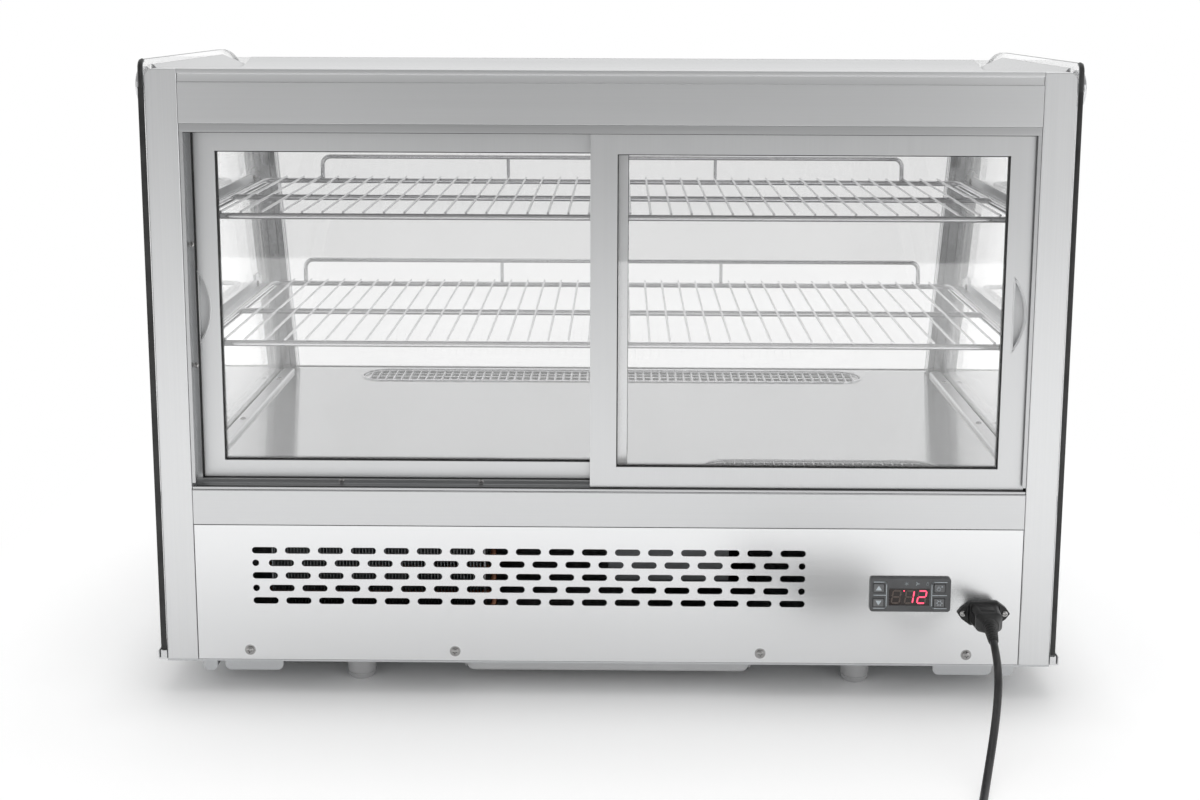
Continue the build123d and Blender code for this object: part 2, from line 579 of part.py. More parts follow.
with BuildPart() as plug_connector:
    slab(IN_X - 12, IN_X + 12, -3.2, 15, IN_Z - 8, IN_Z + 8)
    with BuildSketch(Plane.XZ.offset(-Y(-3.2))):
        with Locations((IN_X, IN_Z)):
            RectangleRounded(27, 20, 4)
    with BuildSketch(Plane.XZ.offset(-Y(-24))):
        with Locations((IN_X, IN_Z)):
            RectangleRounded(25, 18.5, 5)
    loft()
    with BuildSketch(Plane.XZ.offset(-Y(-24))):
        with Locations((IN_X, IN_Z)):
            RectangleRounded(25, 18.5, 5)
    with BuildSketch(Plane.XZ.offset(-Y(-34))):
        with Locations((IN_X - 0.5, IN_Z)):
            RectangleRounded(14.5, 13.5, 5)
    loft()
write(plug_connector.part, "plug_connector")

ROUTE = [(355.5, -60.0, 84.0), (353.0, -83.0, 80.2), (350.3, -105.0, 64.7), (343.8, -124.0, 34.5),
         (326.0, -170.0, 3.75), (309.5, -222.0, 3.8), (304.8, -256.0, 4.3)]
route = [Vector(x, Y(v), z) for (x, v, z) in ROUTE]
d0 = (route[1] - route[0]).normalized()
with BuildPart() as cord_strain_relief:
    relief_plane = Plane(origin=route[0] - d0 * 27, z_dir=d0)
    with Locations(relief_plane * Location((0, 0, 13.5))):
        Cone(6.6, 4.4, 27)
write(cord_strain_relief.part, "cord_strain_relief")

radii = []
for a, b, c in zip(route, route[1:], route[2:]):
    turn = (b - a).get_angle(c - b)
    r = 0.45 * min((b - a).length, (c - b).length) / tan(radians(turn / 2))
    radii.append(r)
    print("cord turn %.1f deg, radius %.1f mm, runs %.1f %.1f" % (turn, r, (b - a).length, (c - b).length))

# the put-away length: a neat round coil two layers high, its last turn leading to the plug
COIL_X, COIL_V, COIL_R, COIL_Z0 = 254.8, -275.0, 40.0, 4.75
PLUG_V, PLUG_Z = COIL_V - COIL_R - CORD_D, COIL_Z0 + CORD_D
with BuildPart() as cord_tube:
    with BuildLine() as cord_path:
        FilletPolyline(*route, radius=radii)
    with BuildSketch(Plane(origin=route[0], z_dir=d0)):
        Circle(CORD_D / 2)
    sweep(path=cord_path.line)
    print("cord tube length %.1f, volume/section %.1f" % (sum(e.length for e in cord_path.edges()), cord_tube.part.volume / (pi * (CORD_D / 2) ** 2)))
    rod_x(233, 214, PLUG_V, PLUG_Z, CORD_D / 2)
write(cord_tube.part, "cord_tube")

with BuildPart() as cord_coil:
    with Locations((COIL_X, Y(COIL_V), COIL_Z0 + CORD_D / 2)):
        Cylinder(COIL_R + 1.5 * CORD_D + 0.2, 2 * CORD_D + 0.3)
        Cylinder(COIL_R - 1.5 * CORD_D - 0.2, 2 * CORD_D + 0.3, mode=Mode.SUBTRACT)
write(cord_coil.part, "cord_coil")

with BuildPart() as mains_plug:
    with Locations(Location((205, Y(PLUG_V), PLUG_Z), (0, -90, 0))):
        Cone(4.6, 6.6, 18)
    with BuildSketch(Plane(origin=(196, Y(PLUG_V), PLUG_Z), x_dir=(0, 1, 0), z_dir=(-1, 0, 0))):
        RectangleRounded(17, 15, 5)
    with BuildSketch(Plane(origin=(184, Y(PLUG_V), PLUG_Z), x_dir=(0, 1, 0), z_dir=(-1, 0, 0))):
        RectangleRounded(26, 20, 5)
    loft()
    with BuildSketch(Plane(origin=(184, Y(PLUG_V), PLUG_Z), x_dir=(0, 1, 0), z_dir=(-1, 0, 0))):
        RectangleRounded(26, 20, 5)
    extrude(amount=22)
    slab(162, 145, PLUG_V - 7.2, PLUG_V - 5.6, PLUG_Z - 1.0, PLUG_Z + 5.4)
    slab(162, 145, PLUG_V + 5.6, PLUG_V + 7.2, PLUG_Z - 1.0, PLUG_Z + 5.4)
    rod_x(162, 142, PLUG_V, PLUG_Z - 5.4, 2.4)
write(mains_plug.part, "mains_plug")

# ---------------- machine compartment ----------------
FAN_X, FAN_Z = -225.0, 91.0
with BuildPart() as condenser_coil:
    slab(-330, -120, 34, 56, 40, 142)
write(condenser_coil.part, "condenser_coil")

with BuildPart() as fan_shroud:
    slab(-330, -120, 56, 58, 35, 142)
    rod_y(FAN_X, 58, 84, FAN_Z, 51)
    rod_y(FAN_X, 50, 90, FAN_Z, 49, mode=Mode.SUBTRACT)
write(fan_shroud.part, "fan_shroud")

with BuildPart() as condenser_motor:
    rod_y(FAN_X, 88, 128, FAN_Z, 20)
    rod_y(FAN_X, 70, 88, FAN_Z, 3)
    slab(FAN_X - 8, FAN_X + 8, 96, 120, 35, FAN_Z - 12)
write(condenser_motor.part, "condenser_motor")

with BuildPart() as condenser_fan:
    rod_y(FAN_X, 64, 86, FAN_Z, 15)
    for i in range(5):
        with Locations(Location((FAN_X, Y(75), FAN_Z), (0, 72 * i, 0)) * Location((29, 0, 0), (28, 0, 0))):
            Box(32, 2, 22)
    rod_y(FAN_X, 69.5, 86.5, FAN_Z, 3.06, mode=Mode.SUBTRACT)
write(condenser_fan.part, "condenser_fan")

with BuildPart() as compressor:
    rod_z(95, 235, 42, 136, 55)
    fillet(compressor.part.edges().filter_by(GeomType.CIRCLE), 16)
    slab(30, 160, 185, 285, 38, 42.5)
    for x in (38, 152):
        for v in (195, 275):
            rod_z(x, v, 35, 38, 8)
write(compressor.part, "compressor")

with BuildPart() as electrical_box:
    slab(0, 120, 60, 96, 94, 146)
    slab(20, 100, 60, 96, 146, 148)
write(electrical_box.part, "electrical_box")

with BuildPart() as evaporator_coil:
    slab(-250, 250, 210, 290, 162, 196)
write(evaporator_coil.part, "evaporator_coil")

with BuildPart() as evaporator_motor:
    rod_z(0, 150, 162, 172, 16)
    rod_z(0, 150, 172, 186, 2.5)
write(evaporator_motor.part, "evaporator_motor")

with BuildPart() as evaporator_fan:
    rod_z(0, 150, 173, 190, 13)
    for i in range(6):
        with Locations(Location((0, Y(150), 181.5), (0, 0, 60 * i)) * Location((26, 0, 0), (28, 0, 0))):
            Box(30, 16, 1.8)
    rod_z(0, 150, 172.5, 186.5, 2.56, mode=Mode.SUBTRACT)
write(evaporator_fan.part, "evaporator_fan")

with BuildPart() as refrigerant_lines:
    with BuildLine() as line_a:
        FilletPolyline((95, Y(291.0), 100), (95, Y(330), 100), (-300, Y(330), 100), (-300, Y(58.1), 100.01), radius=18)
    with BuildSketch(Plane(origin=(95, Y(291.0), 100), z_dir=(0, 1, 0))):
        Circle(4)
    sweep(path=line_a.line)
write(refrigerant_lines.part, "refrigerant_lines")
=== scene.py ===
import bpy, bmesh, math, json, random
from mathutils import Vector, Matrix


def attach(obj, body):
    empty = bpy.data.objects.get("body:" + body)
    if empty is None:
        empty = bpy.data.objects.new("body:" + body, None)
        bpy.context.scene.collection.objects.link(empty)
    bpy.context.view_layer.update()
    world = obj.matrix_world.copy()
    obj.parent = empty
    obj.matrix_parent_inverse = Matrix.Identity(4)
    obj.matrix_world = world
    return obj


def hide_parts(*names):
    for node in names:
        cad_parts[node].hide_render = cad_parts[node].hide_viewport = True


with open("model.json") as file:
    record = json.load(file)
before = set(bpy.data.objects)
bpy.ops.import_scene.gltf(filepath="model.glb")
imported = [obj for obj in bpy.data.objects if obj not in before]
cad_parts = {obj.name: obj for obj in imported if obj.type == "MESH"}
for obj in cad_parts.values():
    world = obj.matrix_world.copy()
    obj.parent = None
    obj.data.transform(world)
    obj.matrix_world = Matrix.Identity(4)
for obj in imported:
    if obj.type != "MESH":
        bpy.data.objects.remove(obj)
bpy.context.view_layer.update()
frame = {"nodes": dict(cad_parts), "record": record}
NODES = frame["nodes"]
scene = bpy.context.scene
YS = -0.267                     # depth v (metres from the rear plane) to the row's Y


def Y(v):
    return v + YS


# ------------------------------------------------------------------ camera
def make_camera():
    cam = bpy.data.cameras.new("camera")
    ob = bpy.data.objects.new("camera", cam)
    scene.collection.objects.link(ob)
    yaw, pitch, roll = -0.00812, 0.15144, 0.00393
    fwd = Vector((math.sin(yaw) * math.cos(pitch), math.cos(yaw) * math.cos(pitch), -math.sin(pitch)))
    right = Vector((math.cos(yaw), -math.sin(yaw), 0))
    up = right.cross(fwd)
    r2 = right * math.cos(roll) + up * math.sin(roll)
    u2 = -right * math.sin(roll) + up * math.cos(roll)
    m = Matrix((r2, u2, -fwd)).transposed().to_4x4()
    m.translation = Vector((0.01099, -1.65742, 0.66669))
    ob.matrix_world = m
    cam.sensor_width = 36.0
    cam.lens = 1522.95 / 1200 * 36
    cam.shift_x, cam.shift_y = -0.00734, -0.14
    cam.clip_start, cam.clip_end = 0.05, 60
    scene.camera = ob
    return ob


make_camera()


# ------------------------------------------------------------------ material helpers
class Mat:
    """A small builder for procedural materials on one Principled shader."""

    def __init__(self, name, color=(.8, .8, .8), metallic=0.0, rough=.4, **sockets):
        self.m = bpy.data.materials.new(name)
        self.m.use_nodes = True
        self.t = self.m.node_tree
        self.p = self.t.nodes["Principled BSDF"]
        self.p.inputs["Base Color"].default_value = (*color, 1)
        self.p.inputs["Metallic"].default_value = metallic
        self.p.inputs["Roughness"].default_value = rough
        for k, v in sockets.items():
            self.p.inputs[k.replace("_", " ")].default_value = v
        self.color = color
        self.rough = rough
        self.coord = self.t.nodes.new("ShaderNodeTexCoord")
        self.bump = None

    def new(self, kind, **values):
        n = self.t.nodes.new(kind)
        for k, v in values.items():
            if hasattr(n, k):
                setattr(n, k, v)
            else:
                n.inputs[k].default_value = v
        return n

    def link(self, a, b):
        self.t.links.new(a, b)

    def noise(self, scale=(1, 1, 1), detail=4, rough=.55, distortion=0.0):
        mp = self.new("ShaderNodeMapping")
        mp.inputs["Scale"].default_value = scale
        self.link(self.coord.outputs["Object"], mp.inputs["Vector"])
        n = self.new("ShaderNodeTexNoise")
        n.inputs["Scale"].default_value = 1.0
        n.inputs["Detail"].default_value = detail
        n.inputs["Roughness"].default_value = rough
        n.inputs["Distortion"].default_value = distortion
        self.link(mp.outputs["Vector"], n.inputs["Vector"])
        return n.outputs["Fac"]

    def remap(self, fac, lo, hi, f0=.3, f1=.7):
        r = self.new("ShaderNodeMapRange")
        r.inputs["From Min"].default_value = f0
        r.inputs["From Max"].default_value = f1
        r.inputs["To Min"].default_value = lo
        r.inputs["To Max"].default_value = hi
        self.link(fac, r.inputs["Value"])
        return r.outputs["Result"]

    def vary_color(self, fac, c0, c1, f0=.3, f1=.7):
        r = self.new("ShaderNodeValToRGB")
        r.color_ramp.elements[0].position = f0
        r.color_ramp.elements[1].position = f1
        r.color_ramp.elements[0].color = (*c0, 1)
        r.color_ramp.elements[1].color = (*c1, 1)
        self.link(fac, r.inputs["Fac"])
        self.link(r.outputs["Color"], self.p.inputs["Base Color"])
        return r.outputs["Color"]

    def vary_rough(self, fac, lo, hi, f0=.3, f1=.7):
        self.link(self.remap(fac, lo, hi, f0, f1), self.p.inputs["Roughness"])

    def add_bump(self, fac, distance, strength=1.0):
        b = self.new("ShaderNodeBump")
        b.inputs["Strength"].default_value = strength
        b.inputs["Distance"].default_value = distance
        self.link(fac, b.inputs["Height"])
        if self.bump is not None:
            self.link(self.bump, b.inputs["Normal"])
        self.bump = b.outputs["Normal"]
        self.link(self.bump, self.p.inputs["Normal"])
        return self


def brushed(name, color, rough, along="X", grain=.08, tone=.02, bump=2.5e-6, **kw):
    """Satin sheet: fine lines along one axis, and slow changes of tone as rolled sheet has."""
    m = Mat(name, color, 1.0, rough, **kw)
    s = {"X": (4, 900, 900), "Y": (900, 4, 900), "Z": (900, 900, 4)}[along]
    lines = m.noise(s, 3, .6)
    slow = m.noise((2.6, 2.6, 2.6), 3, .5)
    add = m.new("ShaderNodeMath", operation="ADD")
    m.link(lines, add.inputs[0]); m.link(slow, add.inputs[1])
    m.vary_rough(add.outputs[0], rough - grain / 2, rough + grain / 2, .7, 1.3)
    c0 = tuple(max(0, c - tone) for c in color); c1 = tuple(min(1, c + tone) for c in color)
    m.vary_color(add.outputs[0], c0, c1, .35, .65)
    m.t.nodes["Color Ramp"].color_ramp.elements[0].position = .35
    half = m.new("ShaderNodeMath", operation="MULTIPLY"); half.inputs[1].default_value = .5
    m.link(add.outputs[0], half.inputs[0])
    m.link(half.outputs[0], m.t.nodes["Color Ramp"].inputs["Fac"])
    m.add_bump(lines, bump)
    return m.m


def plastic(name, color, rough=.45, grain=2600, bump=1.5e-5, tone=.015, **kw):
    m = Mat(name, color, 0.0, rough, **kw)
    fine = m.noise((grain, grain, grain), 2, .5)
    slow = m.noise((40, 40, 40), 3, .6)
    c0 = tuple(max(0, c - tone) for c in color); c1 = tuple(min(1, c + tone) for c in color)
    m.vary_color(slow, c0, c1)
    m.vary_rough(slow, rough - .05, rough + .05)
    m.add_bump(fine, bump)
    return m.m


def chrome(name, color=(.82, .82, .83), rough=.12, dust=60):
    m = Mat(name, color, 1.0, rough)
    slow = m.noise((dust, dust, dust), 4, .6)
    m.vary_rough(slow, rough - .04, rough + .08)
    m.vary_color(slow, tuple(c * .93 for c in color), color)
    fine = m.noise((700, 700, 700), 2, .5)
    m.add_bump(fine, 4e-6)
    return m.m


def thin_glass(name, base, low, high, tint=(1, 1, 1)):
    """Clear pane: mostly see-through face on, mirror-like at a grazing angle, with faint wipe marks."""
    m = Mat(name, tint, 1.0, .02)
    lw = m.new("ShaderNodeLayerWeight"); lw.inputs["Blend"].default_value = .5
    steep = m.new("ShaderNodeMath", operation="POWER"); steep.inputs[1].default_value = 4.5
    m.link(lw.outputs["Facing"], steep.inputs[0])
    smear = m.noise((5, 5, 3), 4, .6, .3)
    r = m.new("ShaderNodeMapRange")
    r.inputs["To Min"].default_value = low; r.inputs["To Max"].default_value = high
    m.link(steep.outputs[0], r.inputs["Value"])
    k = m.remap(smear, .93, 1.07)
    mul = m.new("ShaderNodeMath", operation="MULTIPLY")
    m.link(r.outputs["Result"], mul.inputs[0]); m.link(k, mul.inputs[1])
    m.link(mul.outputs[0], m.p.inputs["Alpha"])
    m.vary_rough(smear, .012, .03)
    m.m.surface_render_method = "BLENDED"
    return m.m


MATS = {}
MATS["stainless"] = brushed("stainless_satin", (.66, .665, .67), .38, "Z")
# painted shade: the rear header is the same satin stainless, given a darker tone (.62 against .66) for the shade of its
# recess
MATS["stainless_h"] = brushed("stainless_satin_across", (.62, .625, .63), .36, "X", grain=.04, tone=.010, bump=1.2e-6)
MATS["stainless_rail"] = brushed("stainless_rail", (.57, .575, .58), .32, "X", grain=.04, tone=.010, bump=1.2e-6)
MATS["stainless_panel"] = brushed("stainless_panel", (.70, .705, .71), .22, "X", grain=.04, tone=.010, bump=8e-7)
MATS["stainless_roof"] = brushed("stainless_roof", (.60, .605, .61), .22, "X", tone=.03, bump=6e-7)
MATS["roof_trim"] = brushed("stainless_roof_flange", (.66, .665, .67), .24, "X", tone=.03, bump=6e-7)
MATS["galvanised"] = brushed("galvanised_sheet", (.56, .57, .58), .48, "Y", tone=.05)
MATS["mirror_steel"] = brushed("bright_deck", (.51, .515, .52), .10, "X", grain=.05, tone=.02, bump=3e-6)
MATS["grille_steel"] = brushed("grille_steel", (.62, .62, .62), .35, "X")
MATS["aluminium_trim"] = brushed("anodised_trim", (.50, .505, .51), .32, "X")
MATS["door_aluminium"] = brushed("anodised_door", (.60, .605, .61), .36, "Z", tone=.012)
MATS["zinc_screw"] = chrome("zinc_screw", (.38, .375, .37), .16, 300)
MATS["chrome"] = chrome("chrome_knob", (.56, .56, .57), .16)
MATS["shelf_chrome"] = chrome("shelf_chrome", (.60, .60, .61), .18)
MATS["side_glass"] = thin_glass("side_glass", 0, .07, .9)
MATS["clear_glass"] = thin_glass("door_glass", 0, .10, .95)
MATS["front_glass"] = thin_glass("front_glass", 0, .115, .9, (.55, .56, .56))
MATS["thermostat_grey"] = plastic("thermostat_grey", (.085, .087, .090), .42)
MATS["display_window"] = plastic("display_window", (.020, .012, .010), .12, bump=0.5e-5, tone=.004)
# painted light: the keys are the housing's grey plastic, but their colour is set lighter (.150 against .085) to offset
# the shade in the recessed keys
MATS["key_plastic"] = plastic("key_plastic", (.150, .153, .157), .5)
MATS["black_plastic"] = plastic("black_plastic", (.012, .012, .012), .38)
MATS["black_rubber"] = plastic("black_rubber", (.014, .014, .014), .5)
MATS["cord_rubber"] = plastic("cord_sheath", (.020, .020, .021), .42, grain=1500)
MATS["gasket"] = plastic("black_gasket", (.010, .010, .010), .45)
MATS["grey_plastic"] = plastic("grey_plastic", (.52, .525, .53), .45)
MATS["foot_rubber"] = plastic("foot_grey", (.46, .46, .465), .5)
MATS["pull_plastic"] = plastic("pull_plastic", (.62, .625, .63), .4)
MATS["lamp_lens"] = plastic("lamp_lens", (.85, .85, .83), .3)
MATS["foam_liner"] = plastic("foam_liner", (.70, .70, .69), .6, grain=900, bump=6e-5)
MATS["compressor_black"] = plastic("compressor_enamel", (.015, .015, .016), .35)
MATS["fan_plastic"] = plastic("fan_plastic", (.025, .025, .026), .4)
MATS["box_grey"] = plastic("box_enamel", (.28, .29, .30), .45)
MATS["fin_aluminium"] = brushed("fin_aluminium", (.60, .61, .62), .42, "Z", tone=.05)
m = Mat("copper_line", (.62, .30, .18), 1.0, .32)
n_ = m.noise((90, 90, 90), 4, .6)
m.vary_color(n_, (.42, .18, .11), (.68, .36, .22)); m.vary_rough(n_, .25, .45)
MATS["copper_line"] = m.m


def smooth(ob, angle=35):
    me = ob.data
    me.polygons.foreach_set("use_smooth", [True] * len(me.polygons))
    bm = bmesh.new(); bm.from_mesh(me)
    for e in bm.edges:
        e.smooth = e.calc_face_angle(0) < math.radians(angle) if len(e.link_faces) == 2 else False
    bm.to_mesh(me); bm.free()


SLOT_OF = {s["node"]: s["material_slot"] for s in frame["record"]["subparts"]}
SPECIAL = {"rear_header": "stainless_h", "rear_base_rail": "stainless_rail"}
for name, ob in NODES.items():
    mat = MATS[SPECIAL.get(name, SLOT_OF[name])]
    ob.data.materials.clear()
    ob.data.materials.append(mat)


def add_object(name, me, slot, body="cabinet", mat=None, sm=None):
    ob = bpy.data.objects.new(name, me)
    scene.collection.objects.link(ob)
    me.materials.append(mat or MATS[slot])
    if sm is not None:
        smooth(ob, sm)
    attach(ob, body)
    return ob


# ------------------------------------------------------------------ the mains cord
CORD_D = 0.0072
ROUTE = [(355.5, -60.0, 84.0), (353.0, -83.0, 80.2), (350.3, -105.0, 64.7), (343.8, -124.0, 34.5),
         (326.0, -170.0, 3.75), (309.5, -222.0, 3.8), (304.8, -256.0, 4.3)]
COIL_X, COIL_V, COIL_R, COIL_Z0 = 254.8, -275.0, 40.0, 4.75
PLUG_V, PLUG_Z = COIL_V - COIL_R - 7.2, COIL_Z0 + 7.2


def coil_points():
    """Three turns going in on the surface and two and a quarter coming out on top, each a cord's width from the last."""
    rad = [COIL_R + 7.2, COIL_R, COIL_R - 7.2, COIL_R - 7.2, COIL_R, COIL_R + 7.2]
    hei = [COIL_Z0] * 3 + [COIL_Z0 + 7.2] * 3
    n = 14
    k = 1 / (0.75 + 0.25 * math.cos(2 * math.pi / n))
    out = []
    for i in range(int(5.25 * n)):
        t = (i + .5) / n
        turn = min(int(t), 5)
        part = t - turn
        r, z = rad[turn], hei[turn]
        # the move to the next turn's place takes a quarter turn: the two inward moves run side by side,
        # the rise comes a quarter earlier, and the two outward moves a quarter before that
        if turn < 5:
            a = (.75, .75, .5, .25, .25)[turn]
            w = min(max((part - a) / .25, 0), 1) if part >= a else 0
            r += (rad[turn + 1] - r) * w
            z += (hei[turn + 1] - z) * w
        th = -2 * math.pi * t
        out.append((COIL_X + r * k * math.cos(th), COIL_V + r * k * math.sin(th), z))
    return out


pts = ROUTE + coil_points() + [(COIL_X - 8, PLUG_V, PLUG_Z), (232, PLUG_V, PLUG_Z), (213.5, PLUG_V, PLUG_Z)]
curve = bpy.data.curves.new("mains_cord", "CURVE")
curve.dimensions = "3D"
sp = curve.splines.new("NURBS")
sp.points.add(len(pts) - 1)
for p, (x, v, z) in zip(sp.points, pts):
    p.co = (x / 1000, Y(v / 1000), z / 1000, 1)
sp.order_u = 3
sp.use_endpoint_u = True
sp.resolution_u = 5
curve.resolution_u = 5
curve.bevel_depth = CORD_D / 2
curve.bevel_resolution = 5
curve.use_fill_caps = True
cord = bpy.data.objects.new("mains_cord", curve)
scene.collection.objects.link(cord)
curve.materials.append(MATS["cord_rubber"])
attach(cord, "cabinet")
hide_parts("cord_tube", "cord_coil")


def line_length():
    probe = curve.copy(); probe.bevel_depth = 0
    tmp = bpy.data.objects.new("probe", probe)
    scene.collection.objects.link(tmp)
    bpy.context.view_layer.update()
    me = bpy.data.meshes.new_from_object(tmp)
    co = [v.co.copy() for v in me.vertices]
    bpy.data.objects.remove(tmp)
    return sum((a - b).length for a, b in zip(co, co[1:]))


CORD_LENGTH = round(line_length(), 3)
print("cord length", CORD_LENGTH)


# ------------------------------------------------------------------ shape helpers (mm; v is the depth from the rear plane)
def P(x, v, z):
    return Vector((x / 1000, Y(v / 1000), z / 1000))


def from_bm(name, bm, slot, body="cabinet", mat=None, sm=35):
    bmesh.ops.remove_doubles(bm, verts=bm.verts, dist=1e-7)
    bmesh.ops.recalc_face_normals(bm, faces=bm.faces)
    me = bpy.data.meshes.new(name)
    bm.to_mesh(me)
    bm.free()
    return add_object(name, me, slot, body, mat, sm)


def bar(bm, x0, x1, v0, v1, z0, z1, r=.4, seg=2):
    """A bar with rounded edges."""
    q = bmesh.new()
    bmesh.ops.create_cube(q, size=1)
    for w in q.verts:
        w.co = P((x0 + x1) / 2 + w.co.x * (x1 - x0), (v0 + v1) / 2 + w.co.y * (v1 - v0), (z0 + z1) / 2 + w.co.z * (z1 - z0))
    bmesh.ops.bevel(q, geom=q.edges[:], offset=r / 1000, segments=seg, profile=.5, affect="EDGES")
    join(bm, q)


def join(bm, other, matrix=None):
    me = bpy.data.meshes.new("tmp")
    other.to_mesh(me)
    other.free()
    if matrix is not None:
        me.transform(matrix)
    bm.from_mesh(me)
    bpy.data.meshes.remove(me)


def lathe(bm, profile, matrix, n=32):
    """Turns (radius, height) points, in mm, round local Z; matrix places it, in mm and v."""
    rings = []
    for r, h in profile:
        if r < 1e-6:
            rings.append([bm.verts.new(P(*(matrix @ Vector((0, 0, h)))))])
        else:
            rings.append([bm.verts.new(P(*(matrix @ Vector((r * math.cos(2 * math.pi * i / n), r * math.sin(2 * math.pi * i / n), h)))))
                          for i in range(n)])
    for a, b in zip(rings, rings[1:]):
        for i in range(n):
            j = (i + 1) % n
            if len(a) == 1 and len(b) == 1:
                continue
            if len(a) == 1:
                bm.faces.new((a[0], b[i], b[j]))
            elif len(b) == 1:
                bm.faces.new((a[i], a[j], b[0]))
            else:
                bm.faces.new((a[i], a[j], b[j], b[i]))
    return rings


def frame_to(axis, at):
    z = Vector(axis).normalized()
    x = Vector((0, 0, 1)).cross(z)
    if x.length < 1e-4:
        x = Vector((1, 0, 0))
    x.normalize()
    y = z.cross(x)
    m = Matrix((x, y, z)).transposed().to_4x4()
    m.translation = Vector(at)
    return m


def tube(bm, pts, r, n=10, closed=False, cap=True):
    """A round wire of radius r through points given in mm and v."""
    pts = [Vector(p) for p in pts]
    count = len(pts)
    rings = []
    last = None
    for i, p in enumerate(pts):
        a = pts[(i - 1) % count] if (closed or i) else p
        b = pts[(i + 1) % count] if (closed or i < count - 1) else p
        t = (b - a).normalized()
        if last is None:
            u = t.orthogonal().normalized()
        else:
            u = (last - t * last.dot(t)).normalized()
        last = u
        w = t.cross(u)
        k = 1.0
        if (closed or 0 < i < count - 1):
            c = max(-1, min(1, (p - a).normalized().dot((b - p).normalized())))
            k = 1 / max(.6, math.cos(math.acos(c) / 2))
        rings.append([bm.verts.new(P(*(p + (u * math.cos(2 * math.pi * j / n) + w * math.sin(2 * math.pi * j / n)) * r))) for j in range(n)])
    pairs = list(zip(rings, rings[1:])) + ([(rings[-1], rings[0])] if closed else [])
    for a, b in pairs:
        for j in range(n):
            k2 = (j + 1) % n
            bm.faces.new((a[j], a[k2], b[k2], b[j]))
    if cap and not closed:
        bm.faces.new(rings[0][::-1])
        bm.faces.new(rings[-1])


def prism(bm, poly, v0, v1):
    """An outline in X and Z, pushed from depth v0 to v1."""
    a = [bm.verts.new(P(x, v0, z)) for x, z in poly]
    b = [bm.verts.new(P(x, v1, z)) for x, z in poly]
    bm.faces.new(a)
    bm.faces.new(b[::-1])
    n = len(poly)
    for i in range(n):
        j = (i + 1) % n
        bm.faces.new((a[i], b[i], b[j], a[j]))


def stroke(bm, pts, w, v0, v1):
    """A line of width w along points in X and Z, as a thin raised mark with round ends."""
    for (x0, z0), (x1, z1) in zip(pts, pts[1:]):
        a = math.atan2(z1 - z0, x1 - x0)
        poly = []
        for i in range(7):
            t = a + math.pi / 2 + math.pi * i / 6
            poly.append((x0 + w / 2 * math.cos(t), z0 + w / 2 * math.sin(t)))
        for i in range(7):
            t = a - math.pi / 2 + math.pi * i / 6
            poly.append((x1 + w / 2 * math.cos(t), z1 + w / 2 * math.sin(t)))
        prism(bm, poly, v0, v1)


def screw_head(bm, at, axis, r, h, cross=.52, w=.13, deep=.45):
    """A domed head with a cross recess, built on a square grid drawn out to a disc."""
    e = .02
    us = sorted({round(k, 4) for s in (-1, 1) for k in (s, s * .86, s * .7, s * (cross + e), s * cross, s * .33, s * (w + e), s * w)} | {0.0})
    m = frame_to(axis, at)
    grid = []
    for yv in us:
        row = []
        for xu in us:
            X2, Y2 = xu * math.sqrt(1 - yv * yv / 2), yv * math.sqrt(1 - xu * xu / 2)
            rr = min(1.0, math.hypot(X2, Y2))
            z = h * (.42 + .58 * math.sqrt(max(0, 1 - rr * rr)))
            if (abs(xu) <= w + 1e-6 and abs(yv) <= cross + 1e-6) or (abs(yv) <= w + 1e-6 and abs(xu) <= cross + 1e-6):
                z -= deep * h
            row.append(bm.verts.new(P(*(m @ Vector((X2 * r, Y2 * r, z))))))
        grid.append(row)
    n = len(us)
    for i in range(n - 1):
        for j in range(n - 1):
            bm.faces.new((grid[i][j], grid[i][j + 1], grid[i + 1][j + 1], grid[i + 1][j]))
    rim = [grid[0][j] for j in range(n)] + [grid[i][n - 1] for i in range(1, n)] + \
          [grid[n - 1][j] for j in range(n - 2, -1, -1)] + [grid[i][0] for i in range(n - 2, 0, -1)]
    inv = m.inverted()
    low = []
    for q in rim:
        c = inv @ Vector((q.co.x * 1000, (q.co.y - YS) * 1000, q.co.z * 1000))
        c.z = 0
        low.append(bm.verts.new(P(*(m @ c))))
    for i in range(len(rim)):
        j = (i + 1) % len(rim)
        bm.faces.new((rim[i], low[i], low[j], rim[j]))
    bm.faces.new(low)


def ring_path(x0, x1, z0, z1, r, v, n=6):
    """A rounded rectangle in X and Z at depth v."""
    out = []
    for cx, cz, a0 in ((x1 - r, z1 - r, 0), (x0 + r, z1 - r, 90), (x0 + r, z0 + r, 180), (x1 - r, z0 + r, 270)):
        for i in range(n + 1):
            t = math.radians(a0 + 90 * i / n)
            out.append((cx + r * math.cos(t), v, cz + r * math.sin(t)))
    return out


def edge_round(name, width, seg=2, angle=32):
    """Softens a CAD node's arrises without touching its mesh."""
    ob = NODES[name]
    w = ob.modifiers.new("weld", "WELD"); w.merge_threshold = 2e-6
    b = ob.modifiers.new("arris", "BEVEL")
    b.width = width / 1000; b.segments = seg; b.limit_method = "ANGLE"; b.angle_limit = math.radians(angle)
    b.harden_normals = False
    b.use_clamp_overlap = True
    s = ob.modifiers.new("shade", "WEIGHTED_NORMAL"); s.keep_sharp = False; s.weight = 80


for n_, w_ in {"rear_header": .5, "rear_base_rail": .5, "rear_posts": .4, "door_left_frame": .7,
               "door_right_frame": .7, "deck_side_sills": .5, "door_track_top": .3, "door_track_bottom": .3,
               "base_skids": .6, "base_pan": .3, "glass_sills": .3, "front_header": .8,
               "led_lamp": .4, "roof_pan": .3, "ceiling_panel": .3, "thermostat_housing": .25, "plug_connector": .6,
               "mains_plug": .6, "inlet_socket": .4, "electrical_box": 1.2, "shelf_rails": .3, "insulated_tub": 2.0,
               "feet": .8, "front_lower_panel": .3, "condenser_motor": .8, "compressor": .8,
               "door_left_pull": .3, "door_right_pull": .3, "thermostat_window": .2}.items():
    edge_round(n_, w_)


